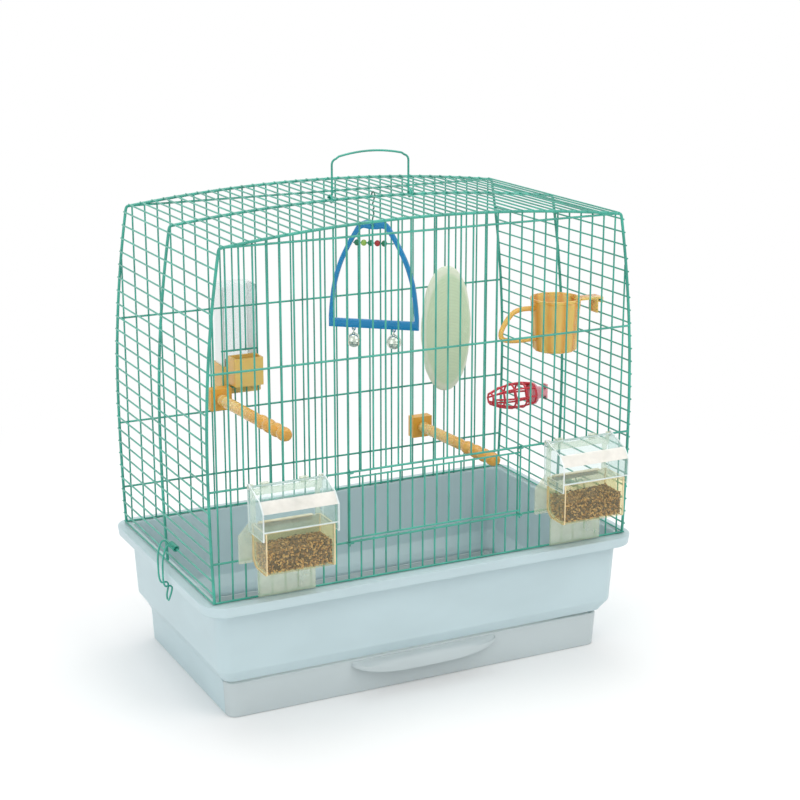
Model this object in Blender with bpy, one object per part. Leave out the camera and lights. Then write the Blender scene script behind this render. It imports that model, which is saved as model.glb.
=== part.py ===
"""Bird cage: a wire body with a domed roof on a plastic tub with a pull-out drawer, and its fittings.

Metres, +Z up. The origin is on the floor under the middle of the cage, the front looks along -Y.
Each welded wire panel is one solid, a flat or curved lattice of square bars.
"""

import math

import bmesh
import bpy
from mathutils import Vector

# General clearances
GAP = 0.0003
RUN = 0.0004
MERGE = 0.000002
SHARP_ANGLE = math.radians(38.0)

# Tub: half length, half depth and height of each level of the outer skin
RIM_Z = 0.129
RIM_HALF_X = 0.242
RIM_HALF_Y = 0.1476
RIM_CORNER = 0.025
RIM_EDGE = 0.0012
LIP_DROP = 0.0105
LIP_TAPER = 0.0011
LIP_THICK = 0.002
FLANGE_THICK = 0.0024
WALL_THICK = 0.0024
WALL_TOP_HALF_X = RIM_HALF_X - 0.0144
WALL_TOP_HALF_Y = RIM_HALF_Y - 0.0143
WALL_FOOT_Z = 0.0535
WALL_FOOT_HALF_X = RIM_HALF_X - 0.018
WALL_FOOT_HALF_Y = RIM_HALF_Y - 0.018
WALL_CORNER = 0.013
CHAMFER_Z = 0.0415
CHAMFER_HALF_X = RIM_HALF_X - 0.026
CHAMFER_HALF_Y = RIM_HALF_Y - 0.026
SKIRT_TOP_Z = 0.035
SKIRT_TOP_HALF_X = RIM_HALF_X - 0.029
SKIRT_TOP_HALF_Y = RIM_HALF_Y - 0.0291
SKIRT_FOOT_HALF_X = RIM_HALF_X - 0.0306
SKIRT_FOOT_HALF_Y = RIM_HALF_Y - 0.0306
SKIRT_CORNER = 0.010
LEDGE_WIDTH = 0.016
LEDGE_THICK = 0.0022
CORNER_STEPS = 5

# Drawer
DRAWER_SPLIT_Y = -0.105
DRAWER_LIFT = 0.0003
DRAWER_FRONT_TOP_Z = 0.037
DRAWER_FRONT_THICK = 0.0022
TRAY_HALF_X = RIM_HALF_X - 0.0346
TRAY_BACK_Y = 0.1130
TRAY_WALL = 0.0018
TRAY_TOP_Z = 0.0335
TRAY_CORNER = 0.008
PULL_HALF_X = 0.0825
PULL_CENTRE_X = 0.0025
PULL_OUT = 0.011
PULL_TOP_Z = 0.0355
PULL_FOOT_Z = 0.0205
PULL_WALL = 0.0022

# Wires
UPRIGHT_WIRE = 0.0018
ROW_WIRE = 0.0022
HOOP_WIRE = 0.003
HOOP_HALF_THICK = 0.0012
PANEL_HALF_THICK = 0.001
HOOP_Y = RIM_HALF_Y - 0.0143
FOOT_ROW_H = 0.0014

# Hoop shape, heights above the rim
HOOP_FOOT_X = RIM_HALF_X - 0.011
HOOP_BULGE_X = HOOP_FOOT_X + 0.0033
HOOP_BULGE_H = 0.140
HOOP_SHOULDER_X = HOOP_BULGE_X - 0.0173
HOOP_SHOULDER_H = 0.3434
DOME_RISE = 0.014
SHOULDER_BEND = 0.0064
SHOULDER_CUT_H = HOOP_SHOULDER_H - 0.0046
SHOULDER_CUT_X = HOOP_SHOULDER_X - SHOULDER_BEND / 2.0

# Front and rear panels
UPRIGHT_PITCH = 0.01356
UPRIGHT_PAIRS = int((HOOP_FOOT_X - ROW_WIRE) / UPRIGHT_PITCH + 0.5)
TOP_ROW_DROP = 0.0006
UPPER_ROW_H = 0.2255
MIDDLE_ROW_H = 0.1123
LOWER_ROW_H = 0.0407
ROW_END = 0.0006

# Side and roof panels
SIDE_PITCH = 0.01356
SIDE_TOP_ROW_DROP = 0.0067
ROOF_PITCH = 0.0125
ROOF_PAIRS = int(SHOULDER_CUT_X / ROOF_PITCH)

# Front door
DOOR_LEFT_PITCH = 7
DOOR_RIGHT_PITCH = 8
DOOR_FOOT_H = 0.0456
DOOR_TOP_H = 0.1074
DOOR_OVERLAP = 0.0007
GUIDE_THICK = 0.0016
GUIDE_REACH = 0.0052
GUIDE_HEIGHT = 0.0018
STILE_REACH = 0.0085

# Carrying handle
HANDLE_HALF_X = 0.043
HANDLE_WIRE_R = 0.0011
HANDLE_RISE = 0.04015
HANDLE_BOW = 0.006
HANDLE_CORNER = 0.006
EYE_INNER_R = 0.0023
EYE_OUTER_R = 0.0041

# Latches
LATCH_PIVOT_H = 0.0248
LATCH_FRONT_Y = -0.035
LATCH_REAR_Y = -0.017
LATCH_WIRE_R = 0.00095
COIL_INNER_R = 0.0020
COIL_OUTER_R = 0.0034
LATCH_SHOULDER = 0.0045
LATCH_STAND_OFF = 0.0045
LATCH_TUCK = 0.0093
LATCH_TAIL = 0.020

# Feeders
FEEDER_LEFT_X = -(UPRIGHT_PAIRS + 6) / 2.0 * UPRIGHT_PITCH
FEEDER_RIGHT_X = (UPRIGHT_PAIRS + 8) / 2.0 * UPRIGHT_PITCH
PLATE_THICK = 0.0015
PLATE_HALF_X = 0.036
PLATE_TOP_H = 0.1105
WING_HALF_X = 0.049
WING_FOOT_H = 0.038
WING_TOP_H = 0.066
WING_SHOULDER_H = 0.080
TAB_HALF_X = 0.030
TAB_FOOT_H = 0.0012
WINDOW_HALF_X = 0.031
WINDOW_FOOT_H = 0.075
WINDOW_TOP_H = 0.104
HOOK_OFFSET_X = 1.5 * UPRIGHT_PITCH
HOOK_HALF_X = 0.004
HOOK_THICK = 0.0014
CUP_HALF_X = 0.0357
CUP_FOOT_H = 0.035
CUP_TOP_H = 0.077
CUP_FRONT = 0.0383
CUP_WALL = 0.0015
CUP_BACK_RADIUS = 0.012
CUP_HOOK_HALF_X = 0.028
SEED_TOP_H = 0.065
HOOD_HALF_X = 0.0392
HOOD_WALL = 0.0015
HOOD_FRONT = 0.0405
HOOD_FRONT_TOP_H = 0.097
HOOD_BEND = 0.032
HOOD_BEND_H = 0.1073
HOOD_FOOT_H = 0.070
HOOD_PIVOT_H = 0.1142
HOOD_PIVOT_OUT = 0.0048
HOOD_EAR_R = 0.0031
HOOD_PIN_R = 0.0016
HOOD_HOLE_R = 0.0019
LUG_R = 0.0027
LUG_THICK = 0.0016

# Drinker
DRINKER_GATE_X = -7.0 * UPRIGHT_PITCH
DRINKER_X = DRINKER_GATE_X + 0.00492
SOCKET_CORNER = 0.007
BOTTLE_HALF_X = 0.0205
BOTTLE_FOOT_H = 0.1305
BOTTLE_TOP_H = 0.248
BOTTLE_WALL = 0.0014
SOCKET_WALL = 0.002
SOCKET_FOOT_H = 0.128
SOCKET_TOP_H = 0.158
SOCKET_NEAR_Y = 0.1367
TROUGH_LEFT_X = DRINKER_GATE_X - 0.01358
TROUGH_RIGHT_X = DRINKER_GATE_X + 0.01892
NECK_HEIGHT = 0.012
CHANNEL_HALF_X = 0.007
CHANNEL_HEIGHT = 0.008
TROUGH_NEAR_Y = 0.112
TROUGH_FAR_Y = 0.1335
TROUGH_FOOT_H = 0.141
TROUGH_TOP_H = 0.172
DRINKER_GATE_LOW_H = 0.1362
DRINKER_GATE_TOP_H = 0.1772

# Perches
LEFT_PERCH_PITCH = -9
RIGHT_PERCH_PITCH = 9
LEFT_PERCH_H = 0.1275
RIGHT_PERCH_H = 0.0655
LEFT_PERCH_LENGTH = 0.190
RIGHT_PERCH_LENGTH = 0.180
PERCH_R = 0.0062
PERCH_TIP_R = 0.0074
PERCH_TENON_R = 0.0045
PERCH_TENON = 0.008
PERCH_TILT = math.radians(2.3)
BLOCK_HALF = 0.012
BLOCK_DEPTH = 0.012
KEY_HALF_WIDE = 0.009
KEY_HALF_SLIM = 0.004
KEY_THICK = 0.002

# Swing
SWING_X = 0.003
SWING_YAW = math.radians(-40.0)
SWING_HOOK_R = 0.0008
SWING_RING_R = 0.0033
SWING_HALF_THICK = 0.0025
SWING_HANG = 0.0259
SWING_HEIGHT = 0.113
SWING_HALF_X = 0.048
SWING_BAR = 0.0046
SWING_SILL = 0.009
SWING_CROWN = 0.009
SWING_HOLE_DROP = 0.005
SWING_HOLE_R = 0.0016
BEAD_ROD_DROP = 0.0235
BEAD_ROD_R = 0.0008
BEAD_R = 0.0033
BEAD_HOLE_R = 0.0011
BEAD_PITCH = 0.0072
BEAD_SHIFT = 0.003
BELL_R = 0.008
BELL_WALL = 0.0009
BELL_OFFSET = 0.0215
BELL_NECK = 0.0012
BELL_SLOT = 0.0046
BELL_SLOT_HALF = 0.0052
EYELET_INNER_R = 0.0011
EYELET_OUTER_R = 0.0022
EYELET_THICK = 0.0013

# Cuttlebone
BONE_X = 0.1534
BONE_HALF_X = 0.0315
BONE_MIDDLE_H = 0.177
BONE_HALF_H = 0.0725
BONE_THICK = 0.014
BONE_BACK_Y = 0.1282
CLIP_PITCH = 11
CLIP_MIDDLE_H = 0.150

# Treat cup
TREAT_CUP_X = HOOP_BULGE_X - 0.0543
TREAT_CUP_Y = -0.070
TREAT_CUP_TOP_H = 0.248
TREAT_CUP_HEIGHT = 0.056
TREAT_CUP_TOP_R = 0.0265
TREAT_CUP_FOOT_R = 0.0228
TREAT_CUP_WALL = 0.0018
TREAT_CUP_FLUTES = 10
TREAT_CUP_FLUTE_DEPTH = 0.0009
TREAT_LOOP_R = 0.0026
TREAT_LOOP_DROP = 0.009
TREAT_LOOP_HEIGHT = 0.033
TREAT_LOOP_REACH = 0.0405
TREAT_TAB_HALF_Y = 0.008
TREAT_TAB_THICK = 0.0018
TREAT_TAB_INNER_LEG = 0.0153
TREAT_TAB_OUTER_LEG = 0.005

# Treat holder
HOLDER_Y = 0.040
HOLDER_H = 0.113
HOLDER_LENGTH = 0.052
HOLDER_R = 0.014
HOLDER_SETBACK = 0.0162
HOLDER_BAR = 0.0020
HOLDER_HALF_THICK = 0.0009
HOLDER_RIBS = 8
HOLDER_RIB_ANGLE = 0.16
HOLDER_KEY_HALF_SLIM = 0.0035
PLUG_FLANGE_R = 0.0125
PLUG_FLANGE = 0.002
PLUG_NECK_R = 0.0080
PLUG_END_R = 0.0062


def clear_scene():
    """Remove every object, mesh and material that is in the file at the start."""
    for item in list(bpy.data.objects):
        bpy.data.objects.remove(item, do_unlink=True)
    for mesh in list(bpy.data.meshes):
        bpy.data.meshes.remove(mesh)
    for old in list(bpy.data.materials):
        bpy.data.materials.remove(old)


def finish(name, colour, roughness, metallic=0.0, alpha=1.0):
    """A Principled material of one colour."""
    made = bpy.data.materials.new(name)
    made.use_nodes = True
    shader = made.node_tree.nodes["Principled BSDF"]
    shader.inputs["Base Color"].default_value = (*colour, 1.0)
    shader.inputs["Roughness"].default_value = roughness
    shader.inputs["Metallic"].default_value = metallic
    shader.inputs["Alpha"].default_value = alpha
    made.diffuse_color = (*colour, alpha)
    return made


def place(name, body, material, origin=(0.0, 0.0, 0.0)):
    """Turn a bmesh drawn in world positions into an object whose origin is at the given point."""
    bmesh.ops.remove_doubles(body, verts=body.verts, dist=MERGE)
    bmesh.ops.recalc_face_normals(body, faces=body.faces)
    bmesh.ops.translate(body, verts=body.verts, vec=-Vector(origin))
    mesh = bpy.data.meshes.new(name)
    body.to_mesh(mesh)
    body.free()
    mesh.materials.append(material)
    item = bpy.data.objects.new(name, mesh)
    item.location = origin
    bpy.context.scene.collection.objects.link(item)
    return item


def combine(target, other, operation):
    """Join or cut the target with the other object, which is used up."""
    modifier = target.modifiers.new(operation, "BOOLEAN")
    modifier.operation = operation
    modifier.solver = "EXACT"
    modifier.object = other
    bpy.context.view_layer.update()
    graph = bpy.context.evaluated_depsgraph_get()
    made = bpy.data.meshes.new_from_object(target.evaluated_get(graph))
    target.modifiers.clear()
    old = target.data
    name = old.name
    target.data = made
    bpy.data.meshes.remove(old)
    made.name = name
    used = other.data
    bpy.data.objects.remove(other, do_unlink=True)
    bpy.data.meshes.remove(used)


def join(target, body):
    """Add the bmesh's solid to the target."""
    combine(target, place("tool", body, target.data.materials[0]), "UNION")


def cut(target, body):
    """Take the bmesh's solid away from the target."""
    combine(target, place("tool", body, target.data.materials[0]), "DIFFERENCE")


def bridge(body, first, second):
    """Quads between two closed rings of equal count."""
    count = len(first)
    for index in range(count):
        after = (index + 1) % count
        body.faces.new((first[index], first[after], second[after], second[index]))


def loft(rings, ends=True, loop=False):
    """A solid through closed rings of points: capped at both ends, or looped back to the first."""
    body = bmesh.new()
    drawn = [[body.verts.new(point) for point in ring] for ring in rings]
    for first, second in zip(drawn, drawn[1:]):
        bridge(body, first, second)
    if loop:
        bridge(body, drawn[-1], drawn[0])
    elif ends:
        body.faces.new(drawn[0])
        body.faces.new(list(reversed(drawn[-1])))
    return body


def rounded_rect(half_x, half_y, corner, z, centre=(0.0, 0.0), steps=CORNER_STEPS):
    """Ring of a rectangle with round corners at height z."""
    ring = []
    corners = ((1, 1, 0.0), (-1, 1, 90.0), (-1, -1, 180.0), (1, -1, 270.0))
    for sign_x, sign_y, start in corners:
        for step in range(steps + 1):
            angle = math.radians(start + 90.0 * step / steps)
            x = centre[0] + sign_x * (half_x - corner) + corner * math.cos(angle)
            y = centre[1] + sign_y * (half_y - corner) + corner * math.sin(angle)
            ring.append((x, y, z))
    return ring


def box(low, high):
    """A plain box between two corners."""
    rings = []
    for z in (low[2], high[2]):
        rings.append(
            [(low[0], low[1], z), (high[0], low[1], z), (high[0], high[1], z), (low[0], high[1], z)]
        )
    return loft(rings)


def prism_x(outline, low_x, high_x):
    """A solid with an outline of (y, z) points between two values of x."""
    return loft([[(x, y, z) for y, z in outline] for x in (low_x, high_x)])


def prism_y(outline, low_y, high_y):
    """A solid with an outline of (x, z) points between two values of y."""
    return loft([[(x, y, z) for x, z in outline] for y in (low_y, high_y)])


def circle(centre, first, second, radius, sides):
    """Points on a circle in the plane of two unit directions."""
    ring = []
    for side in range(sides):
        angle = 2.0 * math.pi * side / sides
        ring.append(centre + first * (radius * math.cos(angle)) + second * (radius * math.sin(angle)))
    return ring


def across(direction):
    """Two unit directions at right angles to the given one and to each other."""
    helper = Vector((0, 0, 1)) if abs(direction.z) < 0.9 else Vector((1, 0, 0))
    first = direction.cross(helper).normalized()
    return first, direction.cross(first).normalized()


def rod(start, end, radius, sides=12, end_radius=None):
    """A round rod or a cone between two points."""
    start = Vector(start)
    end = Vector(end)
    first, second = across((end - start).normalized())
    tip = radius if end_radius is None else end_radius
    return loft([circle(start, first, second, radius, sides), circle(end, first, second, tip, sides)])


def pipe(centre, direction, inner, outer, length, sides=12):
    """A short round pipe about its middle."""
    direction = Vector(direction).normalized()
    centre = Vector(centre)
    first, second = across(direction)
    rings = []
    for radius, side in ((outer, -0.5), (outer, 0.5), (inner, 0.5), (inner, -0.5)):
        rings.append(circle(centre + direction * (length * side), first, second, radius, sides))
    return loft(rings, loop=True)


def turned(start, direction, profile, sides=12, loop=False):
    """A solid of revolution from (distance along, radius) pairs, with flat ends or as a closed loop."""
    direction = Vector(direction).normalized()
    first, second = across(direction)
    rings = [
        circle(Vector(start) + direction * along, first, second, radius, sides)
        for along, radius in profile
    ]
    return loft(rings, loop=loop)


def wire(path, radius, sides=8):
    """A round wire along a path of points, mitred at its bends."""
    points = [Vector(point) for point in path]
    tangents = []
    for index in range(len(points)):
        before = points[max(index - 1, 0)]
        after = points[min(index + 1, len(points) - 1)]
        tangents.append((after - before).normalized())
    first, second = across(tangents[0])
    rings = []
    last = tangents[0]
    for point, tangent in zip(points, tangents):
        turn = last.rotation_difference(tangent)
        first = turn @ first
        second = turn @ second
        last = tangent
        rings.append(circle(point, first, second, radius, sides))
    return loft(rings)


def lattice(columns, rows, crossings, spot, gates=(), wrap=False):
    """A welded wire panel as one solid of bars.

    columns and rows are (middle, width) pairs, crossings the (column, row) pairs where wires meet.
    spot turns (across, up, side) into a point, with side -1 or 1 for the panel's two faces.
    gates are pairs of crossings with no bar between them. wrap joins the last column to the first.
    """
    body = bmesh.new()
    corners = {}
    turns = len(columns)
    for column, row in crossings:
        middle_u, width_u = columns[column]
        middle_w, width_w = rows[row]
        for side in (-1, 1):
            for key_u in (-1, 1):
                for key_w in (-1, 1):
                    u = middle_u + key_u * width_u / 2.0
                    w = middle_w + key_w * width_w / 2.0
                    corners[column, row, key_u, key_w, side] = body.verts.new(spot(u, w, side))

    def face(*keys):
        body.faces.new([corners[key] for key in keys])

    def wall(first, second):
        face((*first, -1), (*second, -1), (*second, 1), (*first, 1))

    above = {}
    beside = {}
    present = set(crossings)
    for column in range(turns):
        here = sorted(row for col, row in present if col == column)
        for low, high in zip(here, here[1:]):
            if ((column, low), (column, high)) not in gates:
                above[column, low] = (column, high)
    for row in range(len(rows)):
        here = sorted(col for col, level in present if level == row)
        pairs = list(zip(here, here[1:]))
        if wrap:
            pairs.append((here[-1], here[0]))
        for left, right in pairs:
            if ((left, row), (right, row)) not in gates:
                beside[left, row] = (right, row)
    covered = set(above.values())
    reached = set(beside.values())
    for c, r in sorted(present):
        for side in (-1, 1):
            face((c, r, -1, -1, side), (c, r, 1, -1, side), (c, r, 1, 1, side), (c, r, -1, 1, side))
        if (c, r) in above:
            ca, ra = above[c, r]
            for side in (-1, 1):
                face(
                    (c, r, -1, 1, side), (c, r, 1, 1, side), (ca, ra, 1, -1, side), (ca, ra, -1, -1, side)
                )
            wall((c, r, -1, 1), (ca, ra, -1, -1))
            wall((c, r, 1, 1), (ca, ra, 1, -1))
        else:
            wall((c, r, -1, 1), (c, r, 1, 1))
        if (c, r) not in covered:
            wall((c, r, -1, -1), (c, r, 1, -1))
        if (c, r) in beside:
            cb, rb = beside[c, r]
            for side in (-1, 1):
                face(
                    (c, r, 1, -1, side), (cb, rb, -1, -1, side), (cb, rb, -1, 1, side), (c, r, 1, 1, side)
                )
            wall((c, r, 1, -1), (cb, rb, -1, -1))
            wall((c, r, 1, 1), (cb, rb, -1, 1))
        else:
            wall((c, r, 1, -1), (c, r, 1, 1))
        if (c, r) not in reached:
            wall((c, r, -1, -1), (c, r, -1, 1))
    return body


def hoop_x(height):
    """Half width of the hoop at a height above the rim, along its leg."""
    if height < HOOP_BULGE_H:
        span = HOOP_BULGE_H
        drop = HOOP_BULGE_X - HOOP_FOOT_X
    else:
        span = HOOP_SHOULDER_H - HOOP_BULGE_H
        drop = HOOP_BULGE_X - HOOP_SHOULDER_X
    return HOOP_BULGE_X - drop * ((height - HOOP_BULGE_H) / span) ** 2


def dome_h(x):
    """Height of the hoop above the rim along the dome."""
    return HOOP_SHOULDER_H + DOME_RISE * (1.0 - (x / HOOP_SHOULDER_X) ** 2)


def slant(height):
    """Outward unit direction (x, z) of the right leg at a height."""
    step = 0.0005
    run = hoop_x(height + step) - hoop_x(height - step)
    length = math.hypot(run, 2.0 * step)
    return 2.0 * step / length, -run / length


def side_row_h(index):
    """Height above the rim of one of the side panel's wires, counted from the top."""
    return HOOP_SHOULDER_H - SIDE_TOP_ROW_DROP - SIDE_PITCH * index


def side_row_count():
    """How many wires fit between the side panel's top wire and its foot wire."""
    return int((side_row_h(0) - FOOT_ROW_H - 2.0 * UPRIGHT_WIRE) / SIDE_PITCH) + 1


def side_row_near(height):
    """Height of the side panel's wire that lies nearest to a height."""
    return side_row_h(round((side_row_h(0) - height) / SIDE_PITCH))


def side_row_below(height):
    """Height of the side panel's highest wire below a height."""
    return side_row_h(math.ceil((side_row_h(0) - height) / SIDE_PITCH))


def upright_x(index):
    """Place of an upright wire counted from the left."""
    return (index - UPRIGHT_PAIRS + 0.5) * UPRIGHT_PITCH


def top_row_h():
    """Height above the rim of the front and rear panels' top row."""
    return HOOP_SHOULDER_H - TOP_ROW_DROP


def free_half_x(height):
    """How far a front or rear row reaches before the hoop."""
    return hoop_x(height) - HOOP_HALF_THICK * 1.1 - GAP


def free_height(x):
    """How high a front or rear wire reaches under the hoop at x."""
    x = abs(x)
    if x < SHOULDER_CUT_X:
        return dome_h(x) - HOOP_HALF_THICK - GAP
    low = HOOP_BULGE_H
    high = HOOP_SHOULDER_H
    for _ in range(30):
        middle = (low + high) / 2.0
        if free_half_x(middle) > x:
            low = middle
        else:
            high = middle
    return low


def flat_spot(panel_y, half=PANEL_HALF_THICK):
    """The spot function of a flat panel that stands at panel_y inside the hoops."""

    def spot(u, w, side):
        height = min(w, free_height(u))
        reach = free_half_x(height)
        x = max(-reach, min(reach, u))
        return x, panel_y + side * half, RIM_Z + height

    return spot


def uprights():
    """(middle, width) of every upright wire."""
    middles = [upright_x(index) for index in range(2 * UPRIGHT_PAIRS)]
    return [(middle, UPRIGHT_WIRE) for middle in middles]


def with_ends(columns, reach):
    """Add a narrow column at each side, where the rows end."""
    return [(-reach, ROW_END), *columns, (reach, ROW_END)]


def wire_panel(name, panel_y, heights, material, top_short, gate=None):
    """One flat panel: uprights at the pitch, rows at the heights, ends cut to the hoops."""
    reach = HOOP_BULGE_X
    columns = with_ends(uprights(), reach)
    rows = [(height, ROW_WIRE) for height in heights]
    last_row = len(rows) - 1
    last = len(columns) - 1
    crossings = {(column, row) for column in range(len(columns)) for row in range(len(rows))}
    gates = set()
    if top_short:
        # The row's ends and the outermost uprights stop under the bent shoulder of the hoop.
        crossings -= {(0, last_row), (last, last_row)}
        gates |= {((1, last_row), (2, last_row)), ((last - 2, last_row), (last - 1, last_row))}
    if gate:
        low_row, high_row, left, right = gate
        for row in (low_row, high_row):
            crossings -= {
                (column, row) for column in range(len(columns)) if not left <= column <= right
            }
        for column in range(left + 1, right):
            gates.add(((column, low_row), (column, high_row)))
    spot = flat_spot(panel_y)

    def clipped(u, w, side):
        if abs(u) > upright_x(2 * UPRIGHT_PAIRS - 1) + UPRIGHT_WIRE:
            # A row's end: keep its short length, measured back from the hoop.
            sign = 1.0 if u > 0 else -1.0
            inner = abs(u) < reach
            end = free_half_x(w) - (ROW_END if inner else 0.0)
            return sign * end, panel_y + side * PANEL_HALF_THICK, RIM_Z + w
        return spot(u, w, side)

    return place(name, lattice(columns, rows, crossings, clipped, gates), material)


def add_guides(panel, height):
    """Hooks on a front row that hold the door's two stiles from the outside."""
    left, right = door_span()
    front = -HOOP_Y - PANEL_HALF_THICK
    door_front = front - RUN - UPRIGHT_WIRE
    for sign, edge in ((-1.0, left), (1.0, right)):
        near = edge + sign * (UPRIGHT_WIRE / 2.0 + 1.5 * RUN)
        far = near + sign * GUIDE_THICK
        tip = near - sign * GUIDE_REACH
        low = RIM_Z + height - GUIDE_HEIGHT / 2.0
        high = RIM_Z + height + GUIDE_HEIGHT / 2.0
        root = -HOOP_Y
        nose = door_front - RUN - GUIDE_THICK
        outline = [
            (far, root),
            (near, root),
            (near, nose + GUIDE_THICK),
            (tip, nose + GUIDE_THICK),
            (tip, nose),
            (far, nose),
        ]
        rings = [[(x, y, z) for x, y in outline] for z in (low, high)]
        join(panel, loft(rings))


def door_span():
    """Middles of the door's left and right stile."""
    left = -(DOOR_LEFT_PITCH - 0.5) * UPRIGHT_PITCH - DOOR_OVERLAP
    right = (DOOR_RIGHT_PITCH - 0.5) * UPRIGHT_PITCH + DOOR_OVERLAP
    return left, right


def build_front(wire_finish):
    """The two front panels, the single posts between the openings, and the sliding door."""
    upper = wire_panel(
        "front_grille_upper", -HOOP_Y, (MIDDLE_ROW_H, UPPER_ROW_H, top_row_h()), wire_finish, True
    )
    lower = wire_panel("front_grille_lower", -HOOP_Y, (FOOT_ROW_H, LOWER_ROW_H), wire_finish, False)
    add_guides(upper, MIDDLE_ROW_H)
    add_guides(lower, LOWER_ROW_H)
    middle = UPRIGHT_PAIRS
    posts = (0, 1, middle - 8, middle - 7, middle + 7, middle + 8, 2 * middle - 1)
    low = RIM_Z + LOWER_ROW_H + ROW_WIRE / 2.0 + GAP
    high = RIM_Z + MIDDLE_ROW_H - ROW_WIRE / 2.0 - GAP
    for number, index in enumerate(posts, start=1):
        x = upright_x(index)
        body = box(
            (x - UPRIGHT_WIRE / 2.0, -HOOP_Y - PANEL_HALF_THICK, low),
            (x + UPRIGHT_WIRE / 2.0, -HOOP_Y + PANEL_HALF_THICK, high),
        )
        place(f"front_post_{number}", body, wire_finish)
    build_door(wire_finish)


def build_door(wire_finish):
    """The wire door, hung in front of its opening between the guides."""
    left, right = door_span()
    inner = [upright_x(index) for index in range(UPRIGHT_PAIRS - 6, UPRIGHT_PAIRS + 7)]
    columns = [(left, UPRIGHT_WIRE)]
    columns += [(middle, UPRIGHT_WIRE) for middle in inner]
    columns += [(right, UPRIGHT_WIRE)]
    rows = [
        (DOOR_FOOT_H - STILE_REACH, UPRIGHT_WIRE),
        (DOOR_FOOT_H, UPRIGHT_WIRE),
        (DOOR_TOP_H, UPRIGHT_WIRE),
        (DOOR_TOP_H + STILE_REACH, UPRIGHT_WIRE),
    ]
    last = len(columns) - 1
    crossings = {(column, row) for column in range(len(columns)) for row in (1, 2)}
    crossings |= {(0, 0), (last, 0), (0, 3), (last, 3)}
    gates = {((0, 0), (last, 0)), ((0, 3), (last, 3))}
    back = -HOOP_Y - PANEL_HALF_THICK - RUN
    middle_y = back - UPRIGHT_WIRE / 2.0

    def spot(u, w, side):
        return u, middle_y + side * UPRIGHT_WIRE / 2.0, RIM_Z + w

    centre_x = (left + right) / 2.0
    origin = (centre_x, middle_y, RIM_Z + DOOR_FOOT_H)
    place("front_door", lattice(columns, rows, crossings, spot, gates), wire_finish, origin)


def build_rear(wire_finish):
    """The rear panel, with a framed opening that the drinker's neck passes through."""
    heights = (
        FOOT_ROW_H,
        LOWER_ROW_H,
        MIDDLE_ROW_H,
        DRINKER_GATE_LOW_H,
        DRINKER_GATE_TOP_H,
        UPPER_ROW_H,
        top_row_h(),
    )
    # The opening's short rows and its two side columns, with the row's end as column 0.
    gate = (3, 4, UPRIGHT_PAIRS - 8, UPRIGHT_PAIRS - 5)
    wire_panel("rear_grille", HOOP_Y, heights, wire_finish, True, gate)


def build_sides(wire_finish):
    """The two side panels: three hoop legs each, crossed by the long wires."""
    heights = [FOOT_ROW_H + GAP]
    heights += [side_row_h(index) for index in reversed(range(side_row_count()))]
    rows = [(height, UPRIGHT_WIRE) for height in heights]
    top = len(rows)
    rows.append((SHOULDER_CUT_H - GAP - ROW_END / 2.0, ROW_END))
    columns = [(-HOOP_Y, HOOP_WIRE), (0.0, HOOP_WIRE), (HOOP_Y, HOOP_WIRE)]
    crossings = {(column, row) for column in range(3) for row in range(len(rows))}
    gates = {((0, top), (1, top)), ((1, top), (2, top))}
    for name, sign in (("left_side_grille", -1.0), ("right_side_grille", 1.0)):

        def spot(u, w, side, sign=sign):
            out_x, out_z = slant(w)
            x = hoop_x(w) + side * HOOP_HALF_THICK * out_x
            return sign * x, u, RIM_Z + w + side * HOOP_HALF_THICK * out_z

        place(name, lattice(columns, rows, crossings, spot, gates), wire_finish)


def roof_point(along):
    """Point (x, height) on the hoop's top, measured as x and then around the shoulder."""
    sign = -1.0 if along < 0 else 1.0
    along = abs(along)
    if along <= SHOULDER_CUT_X:
        return sign * along, dome_h(along)
    share = (along - SHOULDER_CUT_X) / SHOULDER_BEND
    start = Vector((SHOULDER_CUT_X, dome_h(SHOULDER_CUT_X)))
    corner = Vector((HOOP_SHOULDER_X, HOOP_SHOULDER_H))
    end = Vector((hoop_x(SHOULDER_CUT_H), SHOULDER_CUT_H))
    point = start * (1 - share) ** 2 + corner * (2 * share * (1 - share)) + end * share**2
    return sign * point.x, point.y


def build_roof(wire_finish):
    """The domed roof: the tops of the three hoops, crossed by the long wires."""
    count = 2 * ROOF_PAIRS + 1
    columns = [((index - ROOF_PAIRS) * ROOF_PITCH, UPRIGHT_WIRE) for index in range(count)]
    bend = SHOULDER_CUT_X + SHOULDER_BEND / 2.0
    end = SHOULDER_CUT_X + SHOULDER_BEND - ROW_END / 2.0
    columns = [(-end, ROW_END), (-bend, ROW_END), *columns, (bend, ROW_END), (end, ROW_END)]
    rows = [(-HOOP_Y, HOOP_WIRE), (0.0, HOOP_WIRE), (HOOP_Y, HOOP_WIRE)]
    crossings = {(column, row) for column in range(len(columns)) for row in range(3)}
    gates = set()
    for column in (0, 1, len(columns) - 2, len(columns) - 1):
        gates.add(((column, 0), (column, 1)))
        gates.add(((column, 1), (column, 2)))

    def spot(u, w, side):
        x, height = roof_point(u)
        ahead = roof_point(u + 0.0002)
        behind = roof_point(u - 0.0002)
        tangent = Vector((ahead[0] - behind[0], ahead[1] - behind[1])).normalized()
        out = Vector((-tangent.y, tangent.x)) * (side * HOOP_HALF_THICK)
        return x + out.x, w, RIM_Z + height + out.y

    place("roof_grille", lattice(columns, rows, crossings, spot, gates), wire_finish)


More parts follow.
